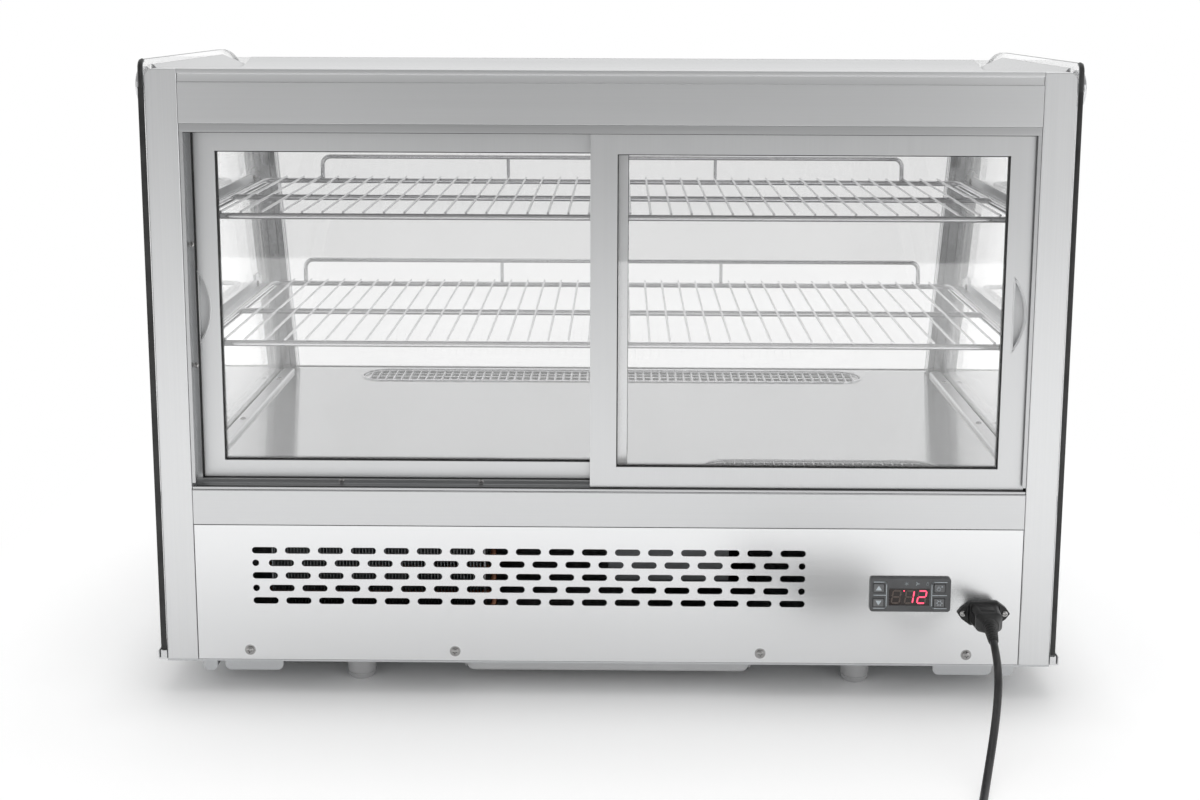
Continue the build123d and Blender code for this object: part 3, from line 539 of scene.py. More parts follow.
# ------------------------------------------------------------------ glass edges, seals and knobs
def glass_edges():
    src = NODES["side_glass"].data
    bm = bmesh.new()
    bm.from_mesh(src)
    bmesh.ops.remove_doubles(bm, verts=bm.verts, dist=1e-6)
    bm.normal_update()
    drop = []
    for f in bm.faces:
        c = f.calc_center_median()
        inside_hole = any(math.hypot(c.y - Y(kv / 1000), c.z - kz / 1000) < .0062 for kv, kz in
                          ((27, 586.5), (330, 584), (28, 186.5), (505, 120)))
        if abs(f.normal.x) > .5 or inside_hole:
            drop.append(f)
    bmesh.ops.delete(bm, geom=drop, context="FACES")
    # the ground edge, as a closed thin band standing a hair proud of the pane
    faces = bm.faces[:]
    bm.normal_update()
    bmesh.ops.solidify(bm, geom=faces, thickness=-.00012)
    m = Mat("ground_glass_edge", (.17, .18, .18), 0.0, .28)
    s = m.noise((260, 260, 60), 3, .6)
    m.vary_color(s, (.13, .14, .14), (.24, .25, .25)); m.vary_rough(s, .2, .4)
    m.add_bump(m.noise((1800, 1800, 1800), 2, .5), 8e-6)
    from_bm("side_glass_edges", bm, "side_glass", mat=m.m, sm=30)


glass_edges()

bm = bmesh.new()
for s in (-1, 1):
    bar(bm, s * 426.0, s * 430.3, -1.3, -.15, 45, 586, .45)
    pts = [(s * 428.15, -.7, 585)] + [(s * 428.15, -.7 + 8 * (1 - math.cos(math.radians(a))), 601 + 8.9 * math.sin(math.radians(a))) for a in range(0, 91, 15)]
    tube(bm, [(p[0], p[1], p[2]) for p in pts], 2.1, 10)
from_bm("glass_edge_seals", bm, "black_rubber", mat=MATS["gasket"])

bm = bmesh.new()
for kv, kz, kr in ((27.0, 586.5, 17.5), (330.0, 584.0, 10.0), (28.0, 186.5, 10.0), (505.0, 120.0, 10.0)):
    for s in (-1, 1):
        h = 6.0 if kr > 12 else 3.0
        m = frame_to((s, 0, 0), (s * 430.5, kv, kz))
        prof = [(0, -4.9), (4.8, -4.9), (4.8, .05), (kr - .4, .05), (kr, .4), (kr, h * .35), (kr - .35, h * .42), (kr - .35, h * .5),
                (kr, h * .57), (kr, h - 1.3), (kr - .35, h - .6), (kr - 1.0, h - .15), (kr - 1.8, h), (kr * .70, h - .05),
                (kr * .68, h - .35), (kr * .64, h - .35), (kr * .62, h - .05), (kr * .35, h + .02), (0, h + .05)]
        lathe(bm, prof, m, 56)
knobs = from_bm("glass_knob_caps", bm, "chrome", sm=28)
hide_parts("glass_knobs")

bm = bmesh.new()
bar(bm, -392, 392, 18.7, 20.1, 544.3, 546.6, .4)
bar(bm, -392, 392, 18.7, 20.1, 209.4, 211.7, .4)
bar(bm, -392, 392, 2.7, 4.6, 544.5, 546.4, .4)
bar(bm, -392, 392, 2.7, 4.2, 206.6, 207.9, .4)
for s in (-1, 1):
    bar(bm, s * 388.7, s * 390.6, 18.7, 20.1, 211.0, 545, .4)
from_bm("track_seals", bm, "black_rubber", mat=MATS["gasket"])

for side, dx0, dx1, dv in (("right", -17.5, 394.0, 5.5), ("left", -393.5, 17.5, 20.5)):
    bm = bmesh.new()
    for v in (dv + 2.2, dv + 7.8):
        tube(bm, ring_path(dx0 + 24.6, dx1 - 24.6, 227.6, 526.4, 1.2, v), .85, 8, closed=True)
        tube(bm, ring_path(dx0 + 25.6, dx1 - 25.6, 228.6, 525.4, 1.2, v + (.5 if v < dv + 5 else -.5)), .5, 8, closed=True)
    from_bm("door_%s_glass_gasket" % side, bm, "black_rubber", "door_" + side, MATS["gasket"], 60)
    # pull: a thin bright rim round the finger recess
    px = 377.0 if side == "right" else -389.0
    bm = bmesh.new()
    arc = [(px + .1, dv + .05, 377 + 36.2), (px + .1, dv + .05, 377 - 36.2)]
    r_ = (36.5 ** 2 + 12 ** 2) / 24
    for i in range(1, 24):
        a = math.asin(36.5 / r_) * (2 * i / 24 - 1)
        arc.append((px + 12 - r_ + r_ * math.cos(a) - .1, dv + .05, 377 + (r_ * math.sin(a)) * .992))
    tube(bm, arc, .65, 8, closed=True)
    from_bm("door_%s_pull_rim" % side, bm, "door_aluminium", "door_" + side, sm=60)

# brush seal on the trailing stile of the left door, its pile cut in short tufts
bm = bmesh.new()
bar(bm, 17.5, 18.1, 22.2, 28.8, 207.5, 549, .25)
random.seed(4)
for i in range(170):
    z = 208.6 + 2.0 * i
    k = random.uniform(-.25, .1)
    bar(bm, 17.9, 18.28 + k, 23.4, 27.6, z - .8, z + .8, .15, 1)
from_bm("door_left_brush_seal", bm, "black_rubber", "door_left", MATS["gasket"], 40)

# roof flange that rises over the edge of the customer's glass
bm = bmesh.new()
sec = [(274, 590.15), (296, 592.6), (318, 597.0), (331, 600.2), (336.4, 601.3), (337.6, 601.0), (337.8, 599.8), (337.0, 599.6),
       (336.6, 600.2), (331, 599.3), (318, 596.1), (296, 591.7), (276, 590.02)]
lo = [bm.verts.new(P(-407.5, v, z)) for v, z in sec]
hi = [bm.verts.new(P(407.5, v, z)) for v, z in sec]
for i in range(len(sec)):
    j = (i + 1) % len(sec)
    bm.faces.new((lo[i], lo[j], hi[j], hi[i]))
bm.faces.new(lo[::-1]); bm.faces.new(hi)
from_bm("roof_front_flange", bm, "stainless_roof", mat=MATS["roof_trim"], sm=40)

# end plates that close the rolled front panel at the sides, behind the side glass
alpha = math.atan(.32)
sec = [(502.3, 202.0), (505.2, 202.0)]
for i in range(25):
    a = alpha - 2 * alpha * .99 * i / 24
    sec.append((402.5 + 133.15 * math.cos(a), 86.0 + 133.15 * math.sin(a)))
sec += [(526.6, 35.6), (502.3, 35.6)]
bm = bmesh.new()
for s in (-1, 1):
    lo = [bm.verts.new(P(s * 423.8, v, z)) for v, z in sec]
    hi = [bm.verts.new(P(s * 424.8, v, z)) for v, z in sec]
    for i in range(len(sec)):
        j = (i + 1) % len(sec)
        bm.faces.new((lo[i], lo[j], hi[j], hi[i]))
    bm.faces.new(lo[::-1]); bm.faces.new(hi)
from_bm("front_panel_end_plates", bm, SLOT_OF["base_pan"], sm=40)

# ------------------------------------------------------------------ air grilles in the deck
def grille(bm, cx, cv, L, W, pitch, count, cross):
    """A rolled rim round an obround opening, closed with round bars."""
    R = W / 2
    outline = []
    for sx, a0 in ((1, -90), (-1, 90)):
        for i in range(15):
            t = math.radians(a0 + 180 * i / 14)
            outline.append((cx + sx * (L / 2 - R) + (R + .6) * math.cos(t), cv + (R + .6) * math.sin(t), 202.25))
    tube(bm, outline, 1.35, 10, closed=True)
    inner = [(cx + (x - cx) * (1 - 3.4 / (L / 2)), cv + (v - cv) * (1 - 3.4 / R), 201.1) for x, v, z in outline]
    tube(bm, inner, .9, 8, closed=True)
    for i in range(count):
        x = cx + (i - (count - 1) / 2) * pitch
        d = abs(x - cx) - (L / 2 - R)
        half = R + .2 if d <= 0 else math.sqrt(max(0, R * R - d * d))
        if half > 4:
            tube(bm, [(x, cv - half, 200.9), (x, cv - half / 3, 201.25), (x, cv + half / 3, 201.25), (x, cv + half, 200.9)], .95, 8)
    for o in cross:
        tube(bm, [(cx - L / 2 + R * .35, cv + o, 199.75), (cx, cv + o, 199.75), (cx + L / 2 - R * .35, cv + o, 199.75)], .8, 8)


bm = bmesh.new()
grille(bm, 0, 462, 620, 56, 10, 61, (-15, 0, 15))
g = from_bm("air_grille_far_wires", bm, "grille_steel", mat=MATS["shelf_chrome"], sm=60)
bm = bmesh.new()
for s in (-1, 1):
    grille(bm, s * 212.5, 85, 241, 54, 10, 24, (-13, 13))
g = from_bm("air_grille_near_wires", bm, "grille_steel", mat=MATS["shelf_chrome"], sm=60)

# ------------------------------------------------------------------ thermostat face
TX, TZ = 289.0, 106.0
WX, WZ = TX - 1.3, TZ - 2.0
red = Mat("digit_lit", (.9, .05, .10), 0.0, .35)
red.p.inputs["Emission Color"].default_value = (1.0, .06, .14, 1)
red.p.inputs["Emission Strength"].default_value = 1.6
k_ = red.noise((900, 900, 900), 2, .5)
red.vary_color(k_, (.85, .03, .08), (1.0, .12, .18))
dim = Mat("digit_unlit", (.10, .075, .06), 0.0, .3)
dim.vary_color(dim.noise((700, 700, 700), 2, .5), (.075, .055, .045), (.12, .09, .075))
mark = Mat("printed_mark", (.50, .55, .58), 0.0, .5)
mark.vary_color(mark.noise((500, 500, 500), 3, .6), (.44, .49, .52), (.56, .61, .64))
mark_dim = Mat("printed_mark_faint", (.34, .38, .40), 0.0, .5)
mark_dim.vary_color(mark_dim.noise((500, 500, 500), 3, .6), (.30, .33, .35), (.38, .42, .44))


def seven(bm, cx, cz, on, w=7.4, h=12.2, t=1.35, slant=.14, v0=-3.36, v1=-3.28):
    """The strokes named in on (a to g) of one seven-segment digit."""
    a, b = w / 2, h / 2
    g = .22
    seg = {"a": ((-a, b), (a, b)), "b": ((a, b), (a, 0)), "c": ((a, 0), (a, -b)), "d": ((-a, -b), (a, -b)),
           "e": ((-a, 0), (-a, -b)), "f": ((-a, b), (-a, 0)), "g": ((-a, 0), (a, 0))}
    for k, ((x0, z0), (x1, z1)) in seg.items():
        if k not in on:
            continue
        L = math.hypot(x1 - x0, z1 - z0)
        ux, uz = (x1 - x0) / L, (z1 - z0) / L
        nx, nz = -uz, ux
        poly = []
        for s, o in ((g, 0), (g + t / 2, t / 2), (L - g - t / 2, t / 2), (L - g, 0), (L - g - t / 2, -t / 2), (g + t / 2, -t / 2)):
            x, z = x0 + ux * s + nx * o, z0 + uz * s + nz * o
            poly.append((cx + x + z * slant, cz + z))
        prism(bm, poly, v0, v1)


bm = bmesh.new()
seven(bm, WX + .4, WZ, "bc")
seven(bm, WX + 12.2, WZ, "abged")
prism(bm, [(WX - 4.9 + .75 * math.cos(a * .7854), WZ + 6.1 + .75 * math.sin(a * .7854)) for a in range(8)], -3.36, -3.28)
from_bm("display_lit_strokes", bm, "display_window", mat=red.m, sm=20)
bm = bmesh.new()
seven(bm, WX - 12.2, WZ, "abcdefg", v0=-3.34)
seven(bm, WX + .4, WZ, "adefg", v0=-3.34)
seven(bm, WX + 12.2, WZ, "cf", v0=-3.34)
from_bm("display_unlit_strokes", bm, "display_window", mat=dim.m, sm=20)

bm = bmesh.new()
V0, V1 = -3.72, -3.55


def corner_path(x_open, x_turn, z_flat, z_end, r=2.0):
    s = 1 if x_turn > x_open else -1
    u = 1 if z_flat > z_end else -1
    pts = [(x_open, z_flat)]
    for i in range(6):
        t = math.radians(90 * i / 5)
        pts.append((x_turn - s * r + s * r * math.sin(t), z_flat - u * r + u * r * math.cos(t)))
    return pts + [(x_turn, z_end)]


for s, xo, xt in ((1, -35.0, -23.0), (-1, 34.5, 20.2)):
    for zf in (12.9, -13.3):
        stroke(bm, [(TX + x, TZ + z) for x, z in corner_path(xo, xt, zf, -.2)], .62, V0, V1)
    stroke(bm, [(TX + xo, TZ - .25), (TX + xt, TZ - .25)], .62, V0, V1)
from_bm("thermostat_bracket_lines", bm, "thermostat_grey", mat=mark.m, sm=20)

bm = bmesh.new()          # state symbols over the window: a frost star, a fan and a drop
for i in range(3):
    a = math.radians(60 * i + 30)
    stroke(bm, [(TX - 4.0 + 1.9 * math.cos(a), TZ + 11.4 + 1.9 * math.sin(a)), (TX - 4.0 - 1.9 * math.cos(a), TZ + 11.4 - 1.9 * math.sin(a))], .34, V0, V1)
for i in range(3):
    a = math.radians(120 * i + 90)
    stroke(bm, [(TX + 6.2 + .4 * math.cos(a), TZ + 11.4 + .4 * math.sin(a)), (TX + 6.2 + 1.8 * math.cos(a + .5), TZ + 11.4 + 1.8 * math.sin(a + .5))], .75, V0, V1)
stroke(bm, [(TX + 16 + 1.1 * math.cos(math.radians(a)), TZ + 10.9 + 1.1 * math.sin(math.radians(a))) for a in range(140, 401, 26)] + [(TX + 16, TZ + 13.2), (TX + 16 + 1.1 * math.cos(math.radians(140)), TZ + 10.9 + 1.1 * math.sin(math.radians(140)))], .34, V0, V1)
from_bm("thermostat_state_symbols", bm, "thermostat_grey", mat=mark_dim.m, sm=20)

K0, K1 = -4.5, -4.36


def key_mark(name, body, draw):
    bm = bmesh.new()
    draw(bm)
    from_bm(name, bm, "key_plastic", body, mark.m, 20)


kx = TX - 30.5
key_mark("key_up_mark", "key_up_body", lambda bm: prism(bm, [(kx - 2.9, TZ + 4.9), (kx + 2.9, TZ + 4.9), (kx + .25, TZ + 9.3), (kx - .25, TZ + 9.3)], K0, K1))
key_mark("key_down_mark", "key_down_body", lambda bm: prism(bm, [(kx - 2.9, TZ - 5.4), (kx - .25, TZ - 9.8), (kx + .25, TZ - 9.8), (kx + 2.9, TZ - 5.4)], K0, K1))
lx = TX + 27.5


def lamp_mark(bm):
    stroke(bm, [(lx - .9 + 1.7 * math.cos(math.radians(a)), TZ + 6.4 + 1.7 * math.sin(math.radians(a))) for a in range(120, 421, 25)], .45, K0, K1)
    stroke(bm, [(lx - .9, TZ + 6.9), (lx - .9, TZ + 9.0)], .45, K0, K1)
    stroke(bm, [(lx + 1.6, TZ + 8.8), (lx + 2.9, TZ + 8.8)], .5, K0, K1)
    stroke(bm, [(lx + 2.25, TZ + 8.15), (lx + 2.25, TZ + 9.45)], .5, K0, K1)


def gear_mark(bm):
    stroke(bm, [(lx + 1.9 * math.cos(math.radians(a)), TZ - 7.5 + 1.9 * math.sin(math.radians(a))) for a in range(0, 361, 30)], .45, K0, K1)
    for a in range(0, 360, 60):
        t = math.radians(a)
        stroke(bm, [(lx + 2.2 * math.cos(t), TZ - 7.5 + 2.2 * math.sin(t)), (lx + 2.9 * math.cos(t), TZ - 7.5 + 2.9 * math.sin(t))], .6, K0, K1)


key_mark("key_lamp_mark", "key_lamp_body", lamp_mark)
key_mark("key_set_mark", "key_set_body", gear_mark)

# ------------------------------------------------------------------ mains inlet, leads and the tie on the coil
IX, IZ = 359.7, 87.6
d0 = (Vector(ROUTE[1]) - Vector(ROUTE[0])).normalized()
bm = bmesh.new()
m0 = frame_to(d0, Vector(ROUTE[0]) - d0 * 27)
prof = [(0, -1.5), (6.9, -1.5), (7.1, -.6), (7.1, 2.0), (6.6, 2.8)]
h = 3.2
for i in range(6):
    r = 6.45 - 2.0 * (h / 27)
    prof += [(r, h), (r, h + 2.3), (r - .25, h + 2.5), (r - 1.15, h + 2.7), (r - 1.2, h + 3.4), (r - .3, h + 3.6)]
    h += 3.75
prof += [(4.55, h), (4.4, 26.2), (4.1, 27.0), (3.3, 27.2), (0, 27.2)]
lathe(bm, prof, m0, 32)
relief = from_bm("inlet_lead_strain_relief", bm, "black_rubber", mat=MATS["black_rubber"], sm=40)
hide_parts("cord_strain_relief")

bm = bmesh.new()          # the connector's shroud seams and finger grips
for s in (-1, 1):
    for i in range(4):
        bar(bm, IX + s * 12.3, IX + s * 13.3, -9.2 - 3.2 * i, -7.4 - 3.2 * i, IZ - 5.2, IZ + 5.2, .35)
bar(bm, IX - 13.9, IX + 13.9, -4.9, -3.3, IZ - 10.3, IZ + 10.3, .7, 3)
bar(bm, IX - 6.5, IX + 6.5, -19, -7.5, IZ + 9.2, IZ + 9.9, .3)
grips = from_bm("connector_grip_ribs", bm, "black_plastic")

bm = bmesh.new()          # raised rim of the inlet flange
hexa = [(-25, 0), (-21, 5.6), (-13, 11.5), (13, 11.5), (21, 5.6), (25, 0), (21, -5.6), (13, -11.5), (-13, -11.5), (-21, -5.6)]
tube(bm, [(IX + x * .955, -3.05, IZ + z * .93) for x, z in hexa], .5, 8, closed=True)
tube(bm, ring_path(IX - 15.1, IX + 15.1, IZ - 10.4, IZ + 10.4, 2.5, -3.1, 4), .75, 8, closed=True)
from_bm("inlet_flange_rim", bm, "black_plastic")

bm = bmesh.new()
mp = frame_to((-1, 0, 0), (214, PLUG_V, PLUG_Z))
prof = [(3.75, -1.0), (4.7, -.2), (4.75, 1.6)]
h = 2.6
for i in range(4):
    r = 4.75 + (h / 18) * 2.0
    prof += [(r + .15, h), (r + .35, h + .3), (r + .35, h + 1.7), (r + .15, h + 2.0), (r - .1, h + 2.2), (r - .1, h + 3.4)]
    h += 3.8
prof += [(6.7, 17.6), (7.2, 18.2), (7.2, 18.8), (0, 18.9)]
lathe(bm, [(0, -1.0)] + prof, mp, 32)
for s in (-1, 1):
    for i in range(5):
        bar(bm, 180.5 - 3.4 * i, 182.3 - 3.4 * i, PLUG_V + s * 12.7, PLUG_V + s * 13.5, PLUG_Z - 6, PLUG_Z + 6, .3)
plug_ribs = from_bm("mains_plug_ribs", bm, "black_rubber", mat=MATS["black_rubber"], sm=40)
bm = bmesh.new()
for s in (-1, 1):
    bar(bm, 144.6, 162.6, PLUG_V + s * 6.4 - .95, PLUG_V + s * 6.4 + .95, PLUG_Z - 1.15, PLUG_Z + 5.55, .45)
lathe(bm, [(0, -.5), (2.55, -.5), (2.55, 17.6), (2.2, 19.4), (1.3, 20.4), (0, 20.7)], frame_to((-1, 0, 0), (162.4, PLUG_V, PLUG_Z - 5.4)), 20)
plug_pins = from_bm("mains_plug_pins", bm, "zinc_screw")

tie = Mat("twist_tie", (.025, .025, .026), 0.0, .45)
tie.add_bump(tie.noise((1500, 1500, 60), 3, .6), 2e-5)
tie.vary_rough(tie.noise((300, 300, 300), 3, .5), .35, .6)
bm = bmesh.new()
for ang in (118.0,):
    ca, sa = math.cos(math.radians(ang)), math.sin(math.radians(ang))
    sec = []
    zc, hw, hh, rr = COIL_Z0 + 3.6, 11.3, 7.6, 3.4
    for cx_, cz_, a0 in ((hw - rr, hh - rr, 0), (-hw + rr, hh - rr, 90), (-hw + rr, -hh + rr, 180), (hw - rr, -hh + rr, 270)):
        for i in range(7):
            t = math.radians(a0 + 15 * i)
            sec.append((cx_ + rr * math.cos(t), cz_ + rr * math.sin(t)))
    for o in (-1.6, 0, 1.6):
        tube(bm, [(COIL_X + ca * (COIL_R + a) - sa * o, COIL_V + sa * (COIL_R + a) + ca * o, max(1.0, zc + b)) for a, b in sec], .85, 8, closed=True)
    tx, tv = COIL_X + ca * (COIL_R + 4), COIL_V + sa * (COIL_R + 4)
    twist = [(tx + 1.0 * math.cos(i * .9), tv + 1.0 * math.sin(i * .9), zc + hh + .3 + i * .55) for i in range(14)]
    tube(bm, twist, .8, 8)
coil_tie = from_bm("cord_coil_tie", bm, "black_rubber", mat=tie.m, sm=60)

# ------------------------------------------------------------------ screws
bm = bmesh.new()
for x in (-345, -147, 147, 345):
    lathe(bm, [(0, 9), (2.0, 9), (2.0, .1), (5.0, .1), (5.15, -.15), (4.9, -.5), (0, -.5)], frame_to((0, 1, 0), (x, 0, 44.5)), 28)
    screw_head(bm, (x, -.5, 44.5), (0, -1, 0), 3.75, 2.2)
ps = from_bm("panel_cross_screws", bm, "zinc_screw", sm=28)
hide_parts("panel_screws")

bm = bmesh.new()
for x, z in ((-256, 548.3), (-122, 548.3), (122, 548.3), (256, 548.3), (-256, 208.6), (-122, 208.6), (122, 208.6), (256, 208.6),
             (-392, 438), (-392, 322), (392, 438), (392, 322), (-390.6, 546.6), (390.6, 546.6)):
    screw_head(bm, (x, 17.0, z), (0, -1, 0), 2.6, 1.05)
for s in (-1, 1):
    for v in (70, 240, 420):
        screw_head(bm, (s * 406, v, 207.0), (0, 0, 1), 3.4, 1.5)
    for z in (452.5, 328.5):
        for v in (52, 356):
            screw_head(bm, (s * 413.3, v, z + 9.0), (-s, 0, 0), 3.2, 1.6)
    screw_head(bm, (IX + s * 20, -3.0, IZ), (0, -1, 0), 3.0, 1.3)
ss = from_bm("small_cross_screws", bm, "zinc_screw", sm=28)
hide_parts("small_screws")

# ------------------------------------------------------------------ glazed front: grooved corner profiles
def slope_v(z, d):
    al = math.atan(.32)
    return 423 - d / math.cos(al) + (468 - z) * .32


bm = bmesh.new()
for s in (-1, 1):
    # section as (distance from the pane, X) round the profile, with grooves on the inner faces
    sec = [(6, 421), (6, 397.6), (6.6, 397), (11, 397), (11.4, 398), (12.4, 398), (12.8, 397), (20, 397), (20.4, 398), (21.4, 398), (21.8, 397),
           (25.7, 397), (26.5, 397.8), (26.5, 402), (25.4, 402.3), (25.4, 404.2), (26.5, 404.5), (26.5, 412.8), (25.4, 413.1), (25.4, 415), (26.5, 415.3), (26.5, 420.2), (25.7, 421)]
    lo = [bm.verts.new(P(s * x, slope_v(204, d), 204)) for d, x in sec]
    hi = [bm.verts.new(P(s * x, slope_v(566, d), 566)) for d, x in sec]
    n = len(sec)
    for i in range(n):
        j = (i + 1) % n
        bm.faces.new((lo[i], lo[j], hi[j], hi[i]))
    bm.faces.new(lo[::-1]); bm.faces.new(hi)
fp = from_bm("front_corner_profiles", bm, "aluminium_trim", mat=brushed("anodised_profile", (.50, .505, .51), .26, "Z", tone=.02, bump=4e-6), sm=25)
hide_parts("front_posts")

# ------------------------------------------------------------------ machine compartment
def coil_block(name, slot, node, x0, x1, v0, v1, z0, z1, pitch, tubes, axis_z=True):
    bm = bmesh.new()
    n = int((x1 - x0 - 6) / pitch)
    for i in range(n + 1):
        x = x0 + 3 + i * pitch
        bar(bm, x - .3, x + .3, v0 + 1.2, v1 - 1.2, z0 + 2, z1 - 2, .12, 1)
    bar(bm, x0, x0 + 1.6, v0, v1, z0, z1, .4); bar(bm, x1 - 1.6, x1, v0, v1, z0, z1, .4)
    fins = from_bm(name, bm, slot, mat=MATS["fin_aluminium"], sm=30)
    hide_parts(node)
    bm = bmesh.new()
    for k in range(tubes):
        f = (k + .5) / tubes
        if axis_z:
            v, z = (v0 + v1) / 2 + (4.5 if k % 2 else -4.5), z0 + (z1 - z0) * f
        else:
            v, z = v0 + (v1 - v0) * f, (z0 + z1) / 2 + (7 if k % 2 else -7)
        tube(bm, [(x0 - 1.5, v, z), (0.5 * (x0 + x1), v, z), (x1 + 1.5, v, z)], 3.0, 12)
    for k in range(tubes - 1):
        f0, f1 = (k + .5) / tubes, (k + 1.5) / tubes
        if axis_z:
            a = ((v0 + v1) / 2 + (4.5 if k % 2 else -4.5), z0 + (z1 - z0) * f0); b = ((v0 + v1) / 2 + (-4.5 if k % 2 else 4.5), z0 + (z1 - z0) * f1)
        else:
            a = (v0 + (v1 - v0) * f0, (z0 + z1) / 2 + (7 if k % 2 else -7)); b = (v0 + (v1 - v0) * f1, (z0 + z1) / 2 + (-7 if k % 2 else 7))
        xs, sg = (x1 + 1.5, 1) if k % 2 == 0 else (x0 - 1.5, -1)
        tube(bm, [(xs + sg * 6 * math.sin(math.pi * i / 8), a[0] + (b[0] - a[0]) * (1 - math.cos(math.pi * i / 8)) / 2,
                   a[1] + (b[1] - a[1]) * (1 - math.cos(math.pi * i / 8)) / 2) for i in range(9)], 3.0, 12)
    from_bm(name + "_tubes", bm, "copper_line", mat=MATS["copper_line"], sm=60)


coil_block("condenser_fins", "fin_aluminium", "condenser_coil", -330, -120, 34, 56, 40, 142, 3.2, 8)
coil_block("evaporator_fins", "fin_aluminium", "evaporator_coil", -250, 250, 210, 290, 162, 196, 6.5, 6, False)


def blades(name, slot, node, body, centre, axis, hub_r, hub_h0, hub_h1, r1, count, chord, pitch0, pitch1, bore):
    """A fan: a rounded hub and twisted, curved blades whose pitch falls off to the tip."""
    bm = bmesh.new()
    m = frame_to(axis, centre)
    lathe(bm, [(bore, hub_h0), (hub_r - 1, hub_h0), (hub_r, hub_h0 + 1), (hub_r, hub_h1 - 3), (hub_r - 1, hub_h1 - 1), (hub_r - 3, hub_h1),
               (hub_r * .45, hub_h1 - .2), (bore, hub_h1 - .4), (bore, hub_h0)], m, 36)
    mid = (hub_h0 + hub_h1) / 2
    for k in range(count):
        q = []
        for i in range(9):
            f = i / 8
            r = hub_r - .8 + (r1 - hub_r + .8) * f
            pit = math.radians(pitch0 + (pitch1 - pitch0) * f)
            c = chord * (.72 + .5 * math.sin(math.pi * (.15 + .65 * f)))
            sweep = math.radians(14) * f * f
            row = []
            for j in range(9):
                g_ = j / 8 - .5
                camber = .10 * c * (1 - 4 * g_ * g_)
                tang = g_ * c * math.cos(pit) - camber * math.sin(pit)
                rise = g_ * c * math.sin(pit) + camber * math.cos(pit)
                a = 2 * math.pi * k / count + sweep + tang / r
                rr = r - (1.6 * (abs(g_) * 2) ** 3 if i == 8 else 0)
                row.append(Vector((rr * math.cos(a), rr * math.sin(a), mid + rise)))
            q.append(row)
        top = [[bm.verts.new(P(*(m @ (p + Vector((0, 0, .8)))))) for p in row] for row in q]
        bot = [[bm.verts.new(P(*(m @ (p - Vector((0, 0, .8)))))) for p in row] for row in q]
        for i in range(8):
            for j in range(8):
                bm.faces.new((top[i][j], top[i][j + 1], top[i + 1][j + 1], top[i + 1][j]))
                bm.faces.new((bot[i][j], bot[i + 1][j], bot[i + 1][j + 1], bot[i][j + 1]))
        for i in range(8):
            bm.faces.new((top[i][0], top[i + 1][0], bot[i + 1][0], bot[i][0]))
            bm.faces.new((top[i + 1][8], top[i][8], bot[i][8], bot[i + 1][8]))
            bm.faces.new((top[8][i], top[8][i + 1], bot[8][i + 1], bot[8][i]))
            bm.faces.new((top[0][i + 1], top[0][i], bot[0][i], bot[0][i + 1]))
    ob = from_bm(name, bm, slot, body, sm=50)
    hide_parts(node)
    return ob


blades("condenser_fan_blades", "fan_plastic", "condenser_fan", "condenser_fan_body", (-225, 75, 91), (0, -1, 0), 15, -11, 11, 44.5, 5, 20, 42, 24, 3.1)
blades("evaporator_fan_blades", "fan_plastic", "evaporator_fan", "evaporator_fan_body", (0, 150, 181.5), (0, 0, 1), 13, -8.5, 8.5, 40.5, 6, 14, 34, 22, 2.6)

bm = bmesh.new()          # wire guard over the condenser fan
for r in (12, 20, 28, 36, 44):
    tube(bm, [(-225 + r * math.cos(math.radians(a)), 60.4 + .0, 91 + r * math.sin(math.radians(a))) for a in range(0, 360, 9)], .8, 8, closed=True)
for a in range(0, 360, 60):
    t = math.radians(a + 15)
    tube(bm, [(-225 + 11.5 * math.cos(t), 59.4, 91 + 11.5 * math.sin(t)), (-225 + 30 * math.cos(t), 59.4, 91 + 30 * math.sin(t)), (-225 + 49.5 * math.cos(t), 59.4, 91 + 49.5 * math.sin(t))], .9, 8)
from_bm("condenser_fan_guard", bm, "black_plastic", sm=60)

bm = bmesh.new()          # weld seam, terminal cover and stubs on the compressor
lathe(bm, [(54.4, 84), (57.0, 84.4), (57.6, 86), (57.6, 88), (57.0, 89.6), (54.4, 90)], Matrix.Translation((95, 235, 0)), 64)
bar(bm, 70, 120, 176.5, 186.5, 92, 124, 3, 3)
for (ax, av, az, b) in ((60, 205, 128, 14), (128, 262, 130, 12)):
    tube(bm, [(ax, av, az), (ax, av, az + b * .5), (ax + 2, av - 2, az + b * .9)], 3.2, 12)
from_bm("compressor_seam_and_terminals", bm, "compressor_black", sm=35)

bm = bmesh.new()          # lamp strip: end caps and a row of diodes under the lens
for s in (-1, 1):
    bar(bm, s * 348.8, s * 351.4, 297.6, 316.4, 543.2, 553.4, 1.0, 3)
from_bm("lamp_end_caps", bm, "grey_plastic", sm=35)
bm = bmesh.new()
for i in range(46):
    bar(bm, -338 + 15 * i, -334 + 15 * i, 305, 309, 542.9, 543.6, .25)
diode = Mat("diode", (.85, .80, .55), 0.0, .3)
diode.p.inputs["Emission Color"].default_value = (1, .96, .85, 1)
diode.p.inputs["Emission Strength"].default_value = .8
diode.vary_color(diode.noise((400, 400, 400), 2, .5), (.80, .74, .45), (.90, .86, .66))
from_bm("lamp_diodes", bm, "lamp_lens", mat=diode.m, sm=30)

bm = bmesh.new()          # two moulded rings on each foot
for fx in (-245, 245):
    for fv in (45, 465):
        m = Matrix.Translation((fx, fv, 0))
        lathe(bm, [(13.2, 4.2), (14.0, 4.4), (14.3, 5.2), (14.0, 6.0), (13.4, 6.2)], m, 40)
        lathe(bm, [(15.2, 27.6), (17.0, 28.0), (17.4, 29.5), (17.4, 32.4), (16.8, 32.9), (15.2, 32.9)], m, 40)
from_bm("feet_moulded_rings", bm, "foot_rubber", sm=40)


